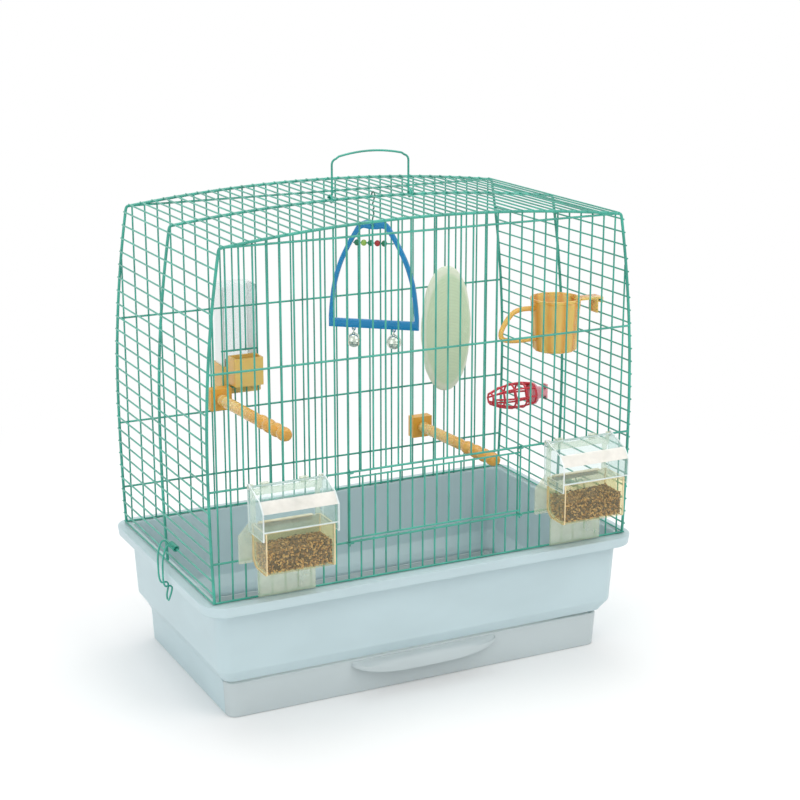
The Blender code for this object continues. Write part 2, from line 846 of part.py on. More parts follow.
def build_tub(tub_finish):
    """The tub: a ring of walls with a flanged lip, open below, with a ledge that carries the drawer."""
    wall_inner_x = WALL_TOP_HALF_X - WALL_THICK
    wall_inner_y = WALL_TOP_HALF_Y - WALL_THICK
    lip_foot_z = RIM_Z - LIP_DROP
    flange_under_z = RIM_Z - FLANGE_THICK
    levels = [
        (SKIRT_FOOT_HALF_X, SKIRT_FOOT_HALF_Y, SKIRT_CORNER, 0.0),
        (SKIRT_TOP_HALF_X, SKIRT_TOP_HALF_Y, SKIRT_CORNER, SKIRT_TOP_Z),
        (CHAMFER_HALF_X, CHAMFER_HALF_Y, SKIRT_CORNER, CHAMFER_Z),
        (WALL_FOOT_HALF_X, WALL_FOOT_HALF_Y, WALL_CORNER, WALL_FOOT_Z),
        (WALL_TOP_HALF_X, WALL_TOP_HALF_Y, WALL_CORNER, flange_under_z),
        (
            RIM_HALF_X - LIP_THICK - LIP_TAPER / 2.0,
            RIM_HALF_Y - LIP_THICK - LIP_TAPER / 2.0,
            RIM_CORNER - LIP_THICK,
            flange_under_z,
        ),
        (
            RIM_HALF_X - LIP_THICK - LIP_TAPER,
            RIM_HALF_Y - LIP_THICK - LIP_TAPER,
            RIM_CORNER - LIP_THICK,
            lip_foot_z,
        ),
        (RIM_HALF_X - LIP_TAPER, RIM_HALF_Y - LIP_TAPER, RIM_CORNER, lip_foot_z),
        (RIM_HALF_X, RIM_HALF_Y, RIM_CORNER, RIM_Z - RIM_EDGE),
        (RIM_HALF_X - RIM_EDGE, RIM_HALF_Y - RIM_EDGE, RIM_CORNER - RIM_EDGE, RIM_Z),
        (wall_inner_x, wall_inner_y, WALL_CORNER - WALL_THICK, RIM_Z),
        (
            WALL_FOOT_HALF_X - WALL_THICK,
            WALL_FOOT_HALF_Y - WALL_THICK,
            WALL_CORNER - WALL_THICK,
            WALL_FOOT_Z,
        ),
        (
            CHAMFER_HALF_X - WALL_THICK,
            CHAMFER_HALF_Y - WALL_THICK,
            SKIRT_CORNER - WALL_THICK,
            CHAMFER_Z + WALL_THICK / 4.0,
        ),
        (
            SKIRT_TOP_HALF_X - WALL_THICK,
            SKIRT_TOP_HALF_Y - WALL_THICK,
            SKIRT_CORNER - WALL_THICK,
            SKIRT_TOP_Z,
        ),
        (
            SKIRT_FOOT_HALF_X - WALL_THICK,
            SKIRT_FOOT_HALF_Y - WALL_THICK,
            SKIRT_CORNER - WALL_THICK,
            LEDGE_THICK,
        ),
        (
            SKIRT_FOOT_HALF_X - WALL_THICK - LEDGE_WIDTH,
            SKIRT_FOOT_HALF_Y - WALL_THICK - LEDGE_WIDTH,
            SKIRT_CORNER / 2.0,
            LEDGE_THICK,
        ),
        (
            SKIRT_FOOT_HALF_X - WALL_THICK - LEDGE_WIDTH,
            SKIRT_FOOT_HALF_Y - WALL_THICK - LEDGE_WIDTH,
            SKIRT_CORNER / 2.0,
            0.0,
        ),
    ]
    tub = place("base_tub", loft([rounded_rect(*level) for level in levels], loop=True), tub_finish)
    # The front of the skirt is open where the drawer's front stands.
    front = box((-RIM_HALF_X, -RIM_HALF_Y, -WALL_THICK), (RIM_HALF_X, DRAWER_SPLIT_Y, CHAMFER_Z - GAP))
    cut(tub, front)


def drawer_front_ring(half_x, half_y, z):
    """Outline of the drawer's front at a height: a plate whose ends wrap around the corners."""
    back_y = DRAWER_SPLIT_Y - GAP
    outer = []
    for start, sign in ((180.0, -1.0), (270.0, 1.0)):
        for step in range(CORNER_STEPS + 1):
            angle = math.radians(start + 90.0 * step / CORNER_STEPS)
            x = sign * (half_x - SKIRT_CORNER) + SKIRT_CORNER * math.cos(angle)
            y = -(half_y - SKIRT_CORNER) + SKIRT_CORNER * math.sin(angle)
            outer.append((x, y))
    inner_r = SKIRT_CORNER - DRAWER_FRONT_THICK
    inner = []
    for start, sign in ((180.0, -1.0), (270.0, 1.0)):
        for step in range(CORNER_STEPS + 1):
            angle = math.radians(start + 90.0 * step / CORNER_STEPS)
            x = sign * (half_x - SKIRT_CORNER) + inner_r * math.cos(angle)
            y = -(half_y - SKIRT_CORNER) + inner_r * math.sin(angle)
            inner.append((x, y))
    ring = [(-half_x, back_y)]
    ring += outer
    ring += [(half_x, back_y), (half_x - DRAWER_FRONT_THICK, back_y)]
    ring += list(reversed(inner))
    ring += [(-half_x + DRAWER_FRONT_THICK, back_y)]
    return [(x, y, z) for x, y in ring]


def pull_section(x, out, wall, foot_z, root_y):
    """Outline of the pull at x, drawn in by the wall."""
    top = PULL_TOP_Z - wall
    reach = max(out - wall, 0.0002)
    points = [
        (root_y, top),
        (root_y - reach * 0.45, top - 0.0007),
        (root_y - reach * 0.82, top - 0.0040),
        (root_y - reach, top - 0.0085),
        (root_y - reach, foot_z),
        (root_y, foot_z),
    ]
    return [(x, y, z) for y, z in points]


def pull_body(wall, foot_z, root_y):
    """The pull's bulge, full in the middle and run out at both ends."""
    half = PULL_HALF_X - wall
    stations = ((-1.0, 0.15), (-0.96, 0.62), (-0.88, 0.95), (-0.4, 1.0))
    stations += ((0.4, 1.0), (0.88, 0.95), (0.96, 0.62), (1.0, 0.15))
    rings = []
    for share, out in stations:
        rings.append(pull_section(PULL_CENTRE_X + share * half, PULL_OUT * out, wall, foot_z, root_y))
    return loft(rings)


def build_drawer(drawer_finish):
    """The drawer: a shallow tray, its wide front and the hooded pull."""
    front_rings = []
    taper_x = (SKIRT_TOP_HALF_X - SKIRT_FOOT_HALF_X) / SKIRT_TOP_Z
    taper_y = (SKIRT_TOP_HALF_Y - SKIRT_FOOT_HALF_Y) / SKIRT_TOP_Z
    for z in (DRAWER_LIFT, DRAWER_FRONT_TOP_Z):
        front_rings.append(
            drawer_front_ring(SKIRT_FOOT_HALF_X + taper_x * z, SKIRT_FOOT_HALF_Y + taper_y * z, z)
        )
    origin = (0.0, DRAWER_SPLIT_Y, 0.0)
    drawer = place("drawer", loft(front_rings), drawer_finish, origin)
    tray_front = -SKIRT_FOOT_HALF_Y + DRAWER_FRONT_THICK / 2.0
    middle_y = (tray_front + TRAY_BACK_Y) / 2.0
    half_y = (TRAY_BACK_Y - tray_front) / 2.0
    foot = LEDGE_THICK + GAP
    centre = (0.0, middle_y)
    tray = [
        rounded_rect(TRAY_HALF_X - TRAY_WALL, half_y, TRAY_CORNER, foot, centre),
        rounded_rect(TRAY_HALF_X, half_y, TRAY_CORNER, TRAY_TOP_Z, centre),
        rounded_rect(TRAY_HALF_X - TRAY_WALL, half_y - TRAY_WALL, TRAY_CORNER - TRAY_WALL, TRAY_TOP_Z, centre),
        rounded_rect(
            TRAY_HALF_X - 2.0 * TRAY_WALL,
            half_y - TRAY_WALL,
            TRAY_CORNER - TRAY_WALL,
            foot + TRAY_WALL,
            centre,
        ),
    ]
    join(drawer, loft(tray))
    root_y = -SKIRT_FOOT_HALF_Y - GAP
    join(drawer, pull_body(0.0, PULL_FOOT_Z, root_y))
    cut(drawer, pull_body(PULL_WALL, PULL_FOOT_Z - PULL_WALL, -SKIRT_TOP_HALF_Y - GAP))


def build_handle(wire_finish):
    """The carrying handle: a wire bail with an eye around the middle hoop at each foot."""
    pivot_h = dome_h(HANDLE_HALF_X)
    start = RIM_Z + pivot_h
    leg = start + HANDLE_RISE
    top = leg + HANDLE_BOW
    corner = HANDLE_CORNER
    half = HANDLE_HALF_X
    mid_ring = (EYE_INNER_R + EYE_OUTER_R) / 2.0
    path = [(-half, 0.0, start + mid_ring), (-half, 0.0, leg - corner)]
    for step in range(1, 4):
        angle = math.radians(90.0 * step / 4)
        path.append(
            (-half + corner * (1 - math.cos(angle)), 0.0, leg - corner + corner * math.sin(angle))
        )
    for step in range(-3, 4):
        share = step / 4.0
        path.append((share * half, 0.0, leg + (top - leg) * (1.0 - share**2)))
    for step in range(3, 0, -1):
        angle = math.radians(90.0 * step / 4)
        path.append(
            (half - corner * (1 - math.cos(angle)), 0.0, leg - corner + corner * math.sin(angle))
        )
    path += [(half, 0.0, leg - corner), (half, 0.0, start + mid_ring)]
    handle = place("carry_handle", wire(path, HANDLE_WIRE_R), wire_finish, (0.0, 0.0, start))
    for sign in (-1.0, 1.0):
        eye = pipe((sign * half, 0.0, start), (1, 0, 0), EYE_INNER_R, EYE_OUTER_R, 2 * HANDLE_WIRE_R)
        join(handle, eye)


def build_latches(wire_finish):
    """Wire clips that turn on a side wire and hook under the tub's lip."""
    height = side_row_near(LATCH_PIVOT_H)
    pivot_x = hoop_x(height)
    middle_y = (LATCH_FRONT_Y + LATCH_REAR_Y) / 2.0
    for name, sign in (("latch_left", -1.0), ("latch_right", 1.0)):
        ring_r = (COIL_INNER_R + COIL_OUTER_R) / 2.0
        half_coil = (LATCH_REAR_Y - LATCH_FRONT_Y) / 2.0
        half_wide = half_coil - LATCH_WIRE_R
        out = RIM_HALF_X + LATCH_STAND_OFF
        # Points as distance out from the middle plane, distance from the clip's middle, height:
        # over the shoulder and down outside the lip, then shares of the tuck under it and of the tail.
        side = [
            (pivot_x + ring_r, half_wide, height),
            (out - LATCH_TUCK * 0.86, half_wide, height + LATCH_SHOULDER),
            (out - LATCH_TUCK * 0.355, half_wide * 0.969, height + LATCH_SHOULDER * 0.667),
            (out - LATCH_TUCK * 0.032, half_wide * 0.919, height * 0.604),
            (out, half_wide * 0.845, 0.0),
            (out - LATCH_TUCK * 0.054, half_wide * 0.795, 2.0 * LATCH_WIRE_R - LIP_DROP),
        ]
        tail = ((0.269, 0.770, 0.15), (0.785, 0.745, 0.165), (1.0, 0.720, 0.25))
        tail += ((0.968, 0.671, 0.475), (0.785, 0.571, 0.80), (0.720, 0.273, 1.0))
        for tuck, wide, drop in tail:
            side.append((out - LATCH_TUCK * tuck, half_wide * wide, -LIP_DROP - LATCH_TAIL * drop))
        path = [(sign * x, middle_y + y, RIM_Z + z) for x, y, z in side]
        path += [(sign * x, middle_y - y, RIM_Z + z) for x, y, z in reversed(side)]
        origin = (sign * pivot_x, middle_y, RIM_Z + height)
        latch = place(name, wire(path, LATCH_WIRE_R), wire_finish, origin)
        coil = pipe(origin, (0, 1, 0), COIL_INNER_R, COIL_OUTER_R, 2.0 * half_coil)
        join(latch, coil)


def arc(centre, radius, start, end, steps):
    """Points of an arc in a plane, angles in degrees."""
    made = []
    for step in range(steps + 1):
        angle = math.radians(start + (end - start) * step / steps)
        made.append((centre[0] + radius * math.cos(angle), centre[1] + radius * math.sin(angle)))
    return made


def grow(outline, amount):
    """Move a closed outline outwards by the amount, inwards if negative, for anticlockwise points."""
    made = []
    count = len(outline)
    for index, point in enumerate(outline):
        before = Vector(outline[index - 1])
        here = Vector(point)
        after = Vector(outline[(index + 1) % count])
        first = (here - before).normalized()
        second = (after - here).normalized()
        normal_a = Vector((first.y, -first.x))
        normal_b = Vector((second.y, -second.x))
        middle = (normal_a + normal_b).normalized()
        scale = amount / max(middle.dot(normal_a), 0.3)
        moved = here + middle * scale
        made.append((moved.x, moved.y))
    return made


def feeder_plate(name, centre_x, material):
    """Clear back plate: wings, a feeding window, hooks over the row wire and lugs for the hood."""
    panel_front = -HOOP_Y - PANEL_HALF_THICK
    back = panel_front - GAP
    front = back - PLATE_THICK
    half_outline = [
        (TAB_HALF_X, TAB_FOOT_H),
        (TAB_HALF_X, WING_FOOT_H),
        (WING_HALF_X, WING_FOOT_H),
        (WING_HALF_X, WING_TOP_H),
        (PLATE_HALF_X, WING_SHOULDER_H),
        (PLATE_HALF_X, PLATE_TOP_H),
    ]
    outline = [(centre_x + x, RIM_Z + z) for x, z in half_outline]
    outline += [(centre_x - x, RIM_Z + z) for x, z in reversed(half_outline)]
    plate = place(name, prism_y(outline, front, back), material)
    window = box(
        (centre_x - WINDOW_HALF_X, front - PLATE_THICK, RIM_Z + WINDOW_FOOT_H),
        (centre_x + WINDOW_HALF_X, back + PLATE_THICK, RIM_Z + WINDOW_TOP_H),
    )
    cut(plate, window)
    row_top = RIM_Z + MIDDLE_ROW_H + ROW_WIRE / 2.0 + GAP
    hook_back = -HOOP_Y + PANEL_HALF_THICK + GAP
    hook_low = RIM_Z + MIDDLE_ROW_H - 0.0035
    base_z = RIM_Z + PLATE_TOP_H - 0.004
    hook = [
        (front, base_z),
        (back - GAP, base_z),
        (back - GAP, row_top),
        (hook_back, row_top),
        (hook_back, hook_low),
        (hook_back + HOOK_THICK, hook_low),
        (hook_back + HOOK_THICK, row_top + HOOK_THICK),
        (front, row_top + HOOK_THICK),
    ]
    for sign in (-1.0, 1.0):
        middle = centre_x + sign * HOOK_OFFSET_X
        join(plate, prism_x(hook, middle - HOOK_HALF_X, middle + HOOK_HALF_X))
    pivot_y = -HOOP_Y - HOOD_PIVOT_OUT
    pivot_z = RIM_Z + HOOD_PIVOT_H
    lug = [(pivot_y - LUG_R, RIM_Z + 0.104), (front + GAP, RIM_Z + 0.101)]
    lug += [(front + GAP, pivot_z + LUG_R * 0.8)]
    lug += arc((pivot_y, pivot_z), LUG_R, 90.0, 180.0, 3)
    for sign in (-1.0, 1.0):
        inner = centre_x + sign * (PLATE_HALF_X - LUG_THICK)
        outer = centre_x + sign * PLATE_HALF_X
        join(plate, prism_x(lug, min(inner, outer), max(inner, outer)))
        pin_end = centre_x + sign * (HOOD_HALF_X + GAP)
        pin = rod((inner, pivot_y, pivot_z), (pin_end, pivot_y, pivot_z), HOOD_PIN_R)
        join(plate, pin)


def feeder_cup(name, seed_name, centre_x, cup_material, seed_material):
    """The clear seed cup that hooks over the plate's window, and the seed in it."""
    plate_front = -HOOP_Y - PANEL_HALF_THICK - GAP - PLATE_THICK
    rear = plate_front - 2.0 * GAP
    front = -HOOP_Y - CUP_FRONT
    foot = RIM_Z + CUP_FOOT_H
    top = RIM_Z + CUP_TOP_H
    outline = [(rear, top), (front, top)]
    outline += arc((front + 0.002, foot + 0.002), 0.002, 180.0, 270.0, 2)
    outline += arc((rear - CUP_BACK_RADIUS, foot + CUP_BACK_RADIUS), CUP_BACK_RADIUS, 270.0, 360.0, 5)
    origin = (centre_x, rear, top)
    cup = place(name, prism_x(outline, centre_x - CUP_HALF_X, centre_x + CUP_HALF_X), cup_material, origin)
    inner = grow(outline, -CUP_WALL)
    opened = [(y, z + (2.0 * CUP_WALL if z > top - 2.0 * CUP_WALL else 0.0)) for y, z in inner]
    half = CUP_HALF_X - CUP_WALL
    cut(cup, prism_x(opened, centre_x - half, centre_x + half))
    sill = RIM_Z + WINDOW_FOOT_H + RUN
    plate_back = -HOOP_Y - PANEL_HALF_THICK - GAP
    hook_y = plate_back + RUN
    hook = [
        (rear - CUP_WALL / 2.0, sill),
        (hook_y, sill),
        (hook_y, sill - 0.005),
        (hook_y + HOOK_THICK, sill - 0.005),
        (hook_y + HOOK_THICK, top),
        (rear - CUP_WALL / 2.0, top),
    ]
    join(cup, prism_x(hook, centre_x - CUP_HOOK_HALF_X, centre_x + CUP_HOOK_HALF_X))
    fill = grow(inner, -GAP)
    level = RIM_Z + SEED_TOP_H
    seed = [(y, min(z, level)) for y, z in fill]
    half -= GAP
    place(seed_name, prism_x(seed, centre_x - half, centre_x + half), seed_material)


def feeder_hood(name, centre_x, material):
    """The hinged clear hood over the cup."""
    pivot_y = -HOOP_Y - HOOD_PIVOT_OUT
    pivot_z = RIM_Z + HOOD_PIVOT_H
    front = -HOOP_Y - HOOD_FRONT
    lap_z = RIM_Z + HOOD_FOOT_H
    outline = arc((pivot_y, pivot_z), HOOD_EAR_R, 0.0, 110.0, 4)
    outline += [
        (-HOOP_Y - HOOD_BEND, RIM_Z + HOOD_BEND_H),
        (front, RIM_Z + HOOD_FRONT_TOP_H),
        (front, lap_z),
        (pivot_y + HOOD_EAR_R * 0.4, lap_z),
    ]
    origin = (centre_x, pivot_y, pivot_z)
    body = prism_x(outline, centre_x - HOOD_HALF_X, centre_x + HOOD_HALF_X)
    hood = place(name, body, material, origin)
    inner_half = HOOD_HALF_X - HOOD_WALL
    inside = [
        (pivot_y + 2.0 * HOOD_EAR_R, pivot_z + 2.0 * HOOD_EAR_R),
        (pivot_y - LUG_R - 3.0 * GAP, pivot_z + 2.0 * HOOD_EAR_R),
        (pivot_y - LUG_R - 3.0 * GAP, pivot_z + HOOD_WALL / 7.5),
        (-HOOP_Y - HOOD_BEND + HOOD_WALL / 3.0, RIM_Z + HOOD_BEND_H - HOOD_WALL * 1.067),
        (front + HOOD_WALL, RIM_Z + HOOD_FRONT_TOP_H - HOOD_WALL * 0.4),
        (front + HOOD_WALL, lap_z - HOOD_WALL),
        (pivot_y + 2.0 * HOOD_EAR_R, lap_z - HOOD_WALL),
    ]
    cut(hood, prism_x(inside, centre_x - inner_half, centre_x + inner_half))
    # The front wall stops above the cup's rim.
    rim = RIM_Z + CUP_TOP_H + 5.0 * GAP
    cut(
        hood,
        box(
            (centre_x - inner_half, front - HOOD_WALL, lap_z - HOOD_WALL),
            (centre_x + inner_half, front + 2.0 * HOOD_WALL, rim),
        ),
    )
    for sign in (-1.0, 1.0):
        middle = centre_x + sign * (HOOD_HALF_X - HOOD_WALL / 2.0)
        hole = rod(
            (middle - 2.0 * HOOD_WALL, pivot_y, pivot_z),
            (middle + 2.0 * HOOD_WALL, pivot_y, pivot_z),
            HOOD_HOLE_R,
        )
        cut(hood, hole)


def build_feeders(clear_finish, cup_finish, seed_finish):
    """Both feeders."""
    for side, centre_x in (("left", FEEDER_LEFT_X), ("right", FEEDER_RIGHT_X)):
        feeder_plate(f"feeder_plate_{side}", centre_x, clear_finish)
        feeder_cup(f"feeder_cup_{side}", f"seed_{side}", centre_x, cup_finish, seed_finish)
        feeder_hood(f"feeder_hood_{side}", centre_x, clear_finish)


def build_drinker(clear_finish, amber_finish):
    """The drinker: a bottle in a socket behind the rear panel, and a trough inside it."""
    far_y = HOOP_Y + HOOD_FRONT
    socket_half_x = BOTTLE_HALF_X + SOCKET_WALL + GAP
    low = RIM_Z + SOCKET_FOOT_H
    high = RIM_Z + SOCKET_TOP_H
    middle_y = (SOCKET_NEAR_Y + far_y) / 2.0
    half_y = (far_y - SOCKET_NEAR_Y) / 2.0
    centre = (DRINKER_X, middle_y)
    corner = SOCKET_CORNER
    inner = corner - SOCKET_WALL
    socket = [
        rounded_rect(socket_half_x, half_y, corner, low, centre, 3),
        rounded_rect(socket_half_x, half_y, corner, high, centre, 3),
        rounded_rect(socket_half_x - SOCKET_WALL, half_y - SOCKET_WALL, inner, high, centre, 3),
        rounded_rect(
            socket_half_x - SOCKET_WALL, half_y - SOCKET_WALL, inner, low + SOCKET_WALL, centre, 3
        ),
    ]
    base = place("drinker_base", loft(socket), amber_finish)
    trough_mid = (TROUGH_LEFT_X + TROUGH_RIGHT_X) / 2.0
    trough_half = (TROUGH_RIGHT_X - TROUGH_LEFT_X) / 2.0
    foot = RIM_Z + TROUGH_FOOT_H
    top = RIM_Z + TROUGH_TOP_H
    trough = box(
        (trough_mid - trough_half, TROUGH_NEAR_Y, foot),
        (trough_mid + trough_half, SOCKET_NEAR_Y + SOCKET_WALL / 2.0, foot + NECK_HEIGHT),
    )
    join(base, trough)
    wall_box = box(
        (trough_mid - trough_half, TROUGH_NEAR_Y, foot + NECK_HEIGHT / 2.0),
        (trough_mid + trough_half, TROUGH_FAR_Y, top),
    )
    join(base, wall_box)
    hollow = box(
        (trough_mid - trough_half + SOCKET_WALL, TROUGH_NEAR_Y + SOCKET_WALL, foot + SOCKET_WALL),
        (trough_mid + trough_half - SOCKET_WALL, TROUGH_FAR_Y - SOCKET_WALL, top + SOCKET_WALL),
    )
    cut(base, hollow)
    channel = box(
        (trough_mid - CHANNEL_HALF_X, TROUGH_FAR_Y - 2.0 * SOCKET_WALL, foot + SOCKET_WALL),
        (trough_mid + CHANNEL_HALF_X, SOCKET_NEAR_Y + 2.0 * SOCKET_WALL, foot + CHANNEL_HEIGHT),
    )
    cut(base, channel)
    bottle_half_y = half_y - SOCKET_WALL - GAP
    bottle_low = RIM_Z + BOTTLE_FOOT_H
    bottle_top = RIM_Z + BOTTLE_TOP_H
    bottle_corner = inner - GAP
    inside_x = BOTTLE_HALF_X - BOTTLE_WALL
    inside_y = bottle_half_y - BOTTLE_WALL
    inside_corner = bottle_corner - BOTTLE_WALL
    bottle = [
        rounded_rect(BOTTLE_HALF_X, bottle_half_y, bottle_corner, bottle_low, centre, 3),
        rounded_rect(BOTTLE_HALF_X, bottle_half_y, bottle_corner, bottle_top - 0.003, centre, 3),
        rounded_rect(
            BOTTLE_HALF_X - 0.002, bottle_half_y - 0.002, bottle_corner - 0.001, bottle_top, centre, 3
        ),
    ]
    inside = [
        rounded_rect(inside_x, inside_y, inside_corner, bottle_low - BOTTLE_WALL, centre, 3),
        rounded_rect(inside_x, inside_y, inside_corner, bottle_top - 0.004, centre, 3),
    ]
    item = place("drinker_bottle", loft(bottle), clear_finish)
    cut(item, loft(inside))


def keyed_block(name, centre_x, height, half_x, half_h, depth, material):
    """A block inside the rear panel, held by a tongue and a cross key behind two uprights."""
    near = HOOP_Y - PANEL_HALF_THICK - GAP
    far = HOOP_Y + PANEL_HALF_THICK + GAP
    low = RIM_Z + height - half_h
    high = RIM_Z + height + half_h
    block = place(
        name, box((centre_x - half_x, near - depth, low), (centre_x + half_x, near, high)), material
    )
    middle = RIM_Z + height
    tongue = box(
        (centre_x - KEY_HALF_SLIM, near - GAP, middle - KEY_HALF_SLIM),
        (centre_x + KEY_HALF_SLIM, far + KEY_THICK / 2.0, middle + KEY_HALF_SLIM),
    )
    join(block, tongue)
    key = box(
        (centre_x - KEY_HALF_WIDE, far, middle - KEY_HALF_SLIM),
        (centre_x + KEY_HALF_WIDE, far + KEY_THICK, middle + KEY_HALF_SLIM),
    )
    join(block, key)
    return block


def perch_profile(length):
    """Distance and radius pairs of the perch: a tenon, a ribbed shaft and bulbs near the tip."""
    profile = [(0.0, PERCH_TENON_R), (PERCH_TENON, PERCH_TENON_R)]
    profile += [(PERCH_TENON, PERCH_R), (length * 0.56, PERCH_R)]
    bulb_start = length * 0.60
    bulb_length = (length - bulb_start) / 4.0
    for bulb in range(4):
        start = bulb_start + bulb * bulb_length
        profile.append((start, PERCH_R * 0.80))
        profile.append((start + bulb_length * 0.30, PERCH_TIP_R))
        profile.append((start + bulb_length * 0.70, PERCH_TIP_R))
    profile.append((length, PERCH_R * 0.62))
    return profile


def build_perches(amber_finish, orange_finish):
    """Two perches that stand out from the rear panel, each plugged into its socket."""
    layout = (
        ("left", LEFT_PERCH_PITCH, LEFT_PERCH_H, LEFT_PERCH_LENGTH),
        ("right", RIGHT_PERCH_PITCH, RIGHT_PERCH_H, RIGHT_PERCH_LENGTH),
    )
    for side, pitch, height, length in layout:
        centre_x = pitch * UPRIGHT_PITCH
        block = keyed_block(
            f"perch_socket_{side}", centre_x, height, BLOCK_HALF, BLOCK_HALF, BLOCK_DEPTH, orange_finish
        )
        direction = Vector((0.0, -math.cos(PERCH_TILT), math.sin(PERCH_TILT)))
        mouth_y = HOOP_Y - PANEL_HALF_THICK - GAP - BLOCK_DEPTH
        shoulder = Vector((centre_x, mouth_y - 2.0 * GAP, RIM_Z + height))
        start = shoulder - direction * PERCH_TENON
        bore = rod(
            start - direction * (2.0 * GAP),
            shoulder + direction * 0.004,
            PERCH_TENON_R + GAP,
        )
        cut(block, bore)
        body = turned(start, direction, perch_profile(length))
        place(f"perch_{side}", body, amber_finish, tuple(start))


def swing_point(along, height, normal=0.0):
    """World point of the swing from its own plane: along the bar, height above the rim, off plane."""
    bar = Vector((math.cos(SWING_YAW), math.sin(SWING_YAW), 0.0))
    face = Vector((-math.sin(SWING_YAW), math.cos(SWING_YAW), 0.0))
    base = Vector((SWING_X, 0.0, RIM_Z + height))
    return base + bar * along + face * normal


def swing_apex_h():
    """Height above the rim of the top of the swing's frame."""
    return dome_h(SWING_X) - SWING_HANG


def swing_outlines():
    """Outer and inner outline of the swing's frame, as (along the bar, height above the rim)."""
    apex = swing_apex_h()
    foot = apex - SWING_HEIGHT
    # Shares of half the frame's width and of its height, from the crown to the foot of one leg.
    leg = ((0.167, 0.0), (0.323, 0.031), (0.469, 0.128), (0.615, 0.239), (0.781, 0.394))
    leg += ((0.906, 0.571), (0.969, 0.748), (1.0, 0.898), (1.0, 1.0))
    half = [(SWING_HALF_X * x, apex - SWING_HEIGHT * drop) for x, drop in leg]
    outer = half + [(-x, h) for x, h in reversed(half)]
    inner = []
    for x, h in grow(outer, SWING_BAR):
        inner.append((x, min(max(h, foot + SWING_SILL), apex - SWING_CROWN)))
    return outer, inner


def inner_half_x(inner, height):
    """Half width between the legs of the swing's frame at a height above the rim."""
    for above, below in zip(inner, inner[1:]):
        if above[1] >= height >= below[1] and above[1] > below[1]:
            share = (above[1] - height) / (above[1] - below[1])
            return above[0] + (below[0] - above[0]) * share
    return inner[0][0]


def swing_hook_path():
    """The hook: an open ring over the middle hoop, a wavy stem, and a bend through the frame's hole."""
    hoop_h = dome_h(SWING_X)
    path = []
    for point in arc((0.0, hoop_h), SWING_RING_R, -35.0, 215.0, 12):
        path.append(Vector((SWING_X, point[0], RIM_Z + point[1])))
    stem = ((-0.0009, -0.0048), (0.0, -0.0070), (0.0016, -0.0092), (-0.0016, -0.0124))
    stem += ((0.0016, -0.0156), (-0.0012, -0.0186))
    for y, drop in stem:
        path.append(Vector((SWING_X, y, RIM_Z + hoop_h + drop)))
    front = -SWING_HALF_THICK - SWING_HOOK_R - 2.0 * GAP
    path.append(swing_point(0.0, swing_apex_h() + 2.5 * SWING_HOOK_R, front * 0.8))
    hole = swing_apex_h() - SWING_HOLE_DROP
    for rise, share in ((1.5, 1.0), (0.0, 0.7), (0.0, -0.7), (1.5, -1.0), (4.0, -1.0)):
        path.append(swing_point(0.0, hole + rise * SWING_HOOK_R, front * share))
    return path


def build_swing(wire_finish, blue_finish, bead_finishes, bell_finish):
    """The swing on its wire hook, with a rod of beads and two bells."""
    pivot = (SWING_X, 0.0, RIM_Z + dome_h(SWING_X))
    place("swing_hook", wire(swing_hook_path(), SWING_HOOK_R, sides=6), wire_finish, pivot)
    outer, inner = swing_outlines()
    rings = []
    for loop, side in ((outer, -1.0), (outer, 1.0), (inner, 1.0), (inner, -1.0)):
        rings.append([swing_point(x, h, side * SWING_HALF_THICK) for x, h in loop])
    frame = place("swing_frame", loft(rings, loop=True), blue_finish, pivot)
    hole = rod(
        swing_point(0.0, swing_apex_h() - SWING_HOLE_DROP, -2.0 * SWING_HALF_THICK),
        swing_point(0.0, swing_apex_h() - SWING_HOLE_DROP, 2.0 * SWING_HALF_THICK),
        SWING_HOLE_R,
    )
    cut(frame, hole)
    for sign in (-1.0, 1.0):
        middle = swing_point(sign * BELL_OFFSET, eyelet_h())
        face = swing_point(0.0, 0.0, 1.0) - swing_point(0.0, 0.0)
        join(frame, pipe(middle, face, EYELET_INNER_R, EYELET_OUTER_R, EYELET_THICK))
    bead_h = swing_apex_h() - BEAD_ROD_DROP
    rod_half = inner_half_x(inner, bead_h + BEAD_ROD_R) - GAP
    bead_rod = rod(swing_point(-rod_half, bead_h), swing_point(rod_half, bead_h), BEAD_ROD_R, 8)
    place("swing_bead_rod", bead_rod, wire_finish, pivot)
    bar = swing_point(1.0, 0.0) - swing_point(0.0, 0.0)
    for number, bead_finish in enumerate(bead_finishes, start=1):
        along = (number - (len(bead_finishes) + 1) / 2.0) * BEAD_PITCH - BEAD_SHIFT
        profile = [
            (-BEAD_R * 0.85, BEAD_HOLE_R),
            (-BEAD_R * 0.70, BEAD_R * 0.72),
            (0.0, BEAD_R),
            (BEAD_R * 0.70, BEAD_R * 0.72),
            (BEAD_R * 0.85, BEAD_HOLE_R),
        ]
        body = turned(swing_point(along, bead_h), bar, profile, 10, loop=True)
        place(f"bead_{number}", body, bead_finish, tuple(swing_point(along, bead_h)))
    for side, sign in (("left", -1.0), ("right", 1.0)):
        build_bell(f"bell_{side}", sign * BELL_OFFSET, bar, bell_finish)


def eyelet_h():
    """Height above the rim of the middle of the eyelets under the swing's bar."""
    return swing_apex_h() - SWING_HEIGHT - EYELET_OUTER_R * 0.55


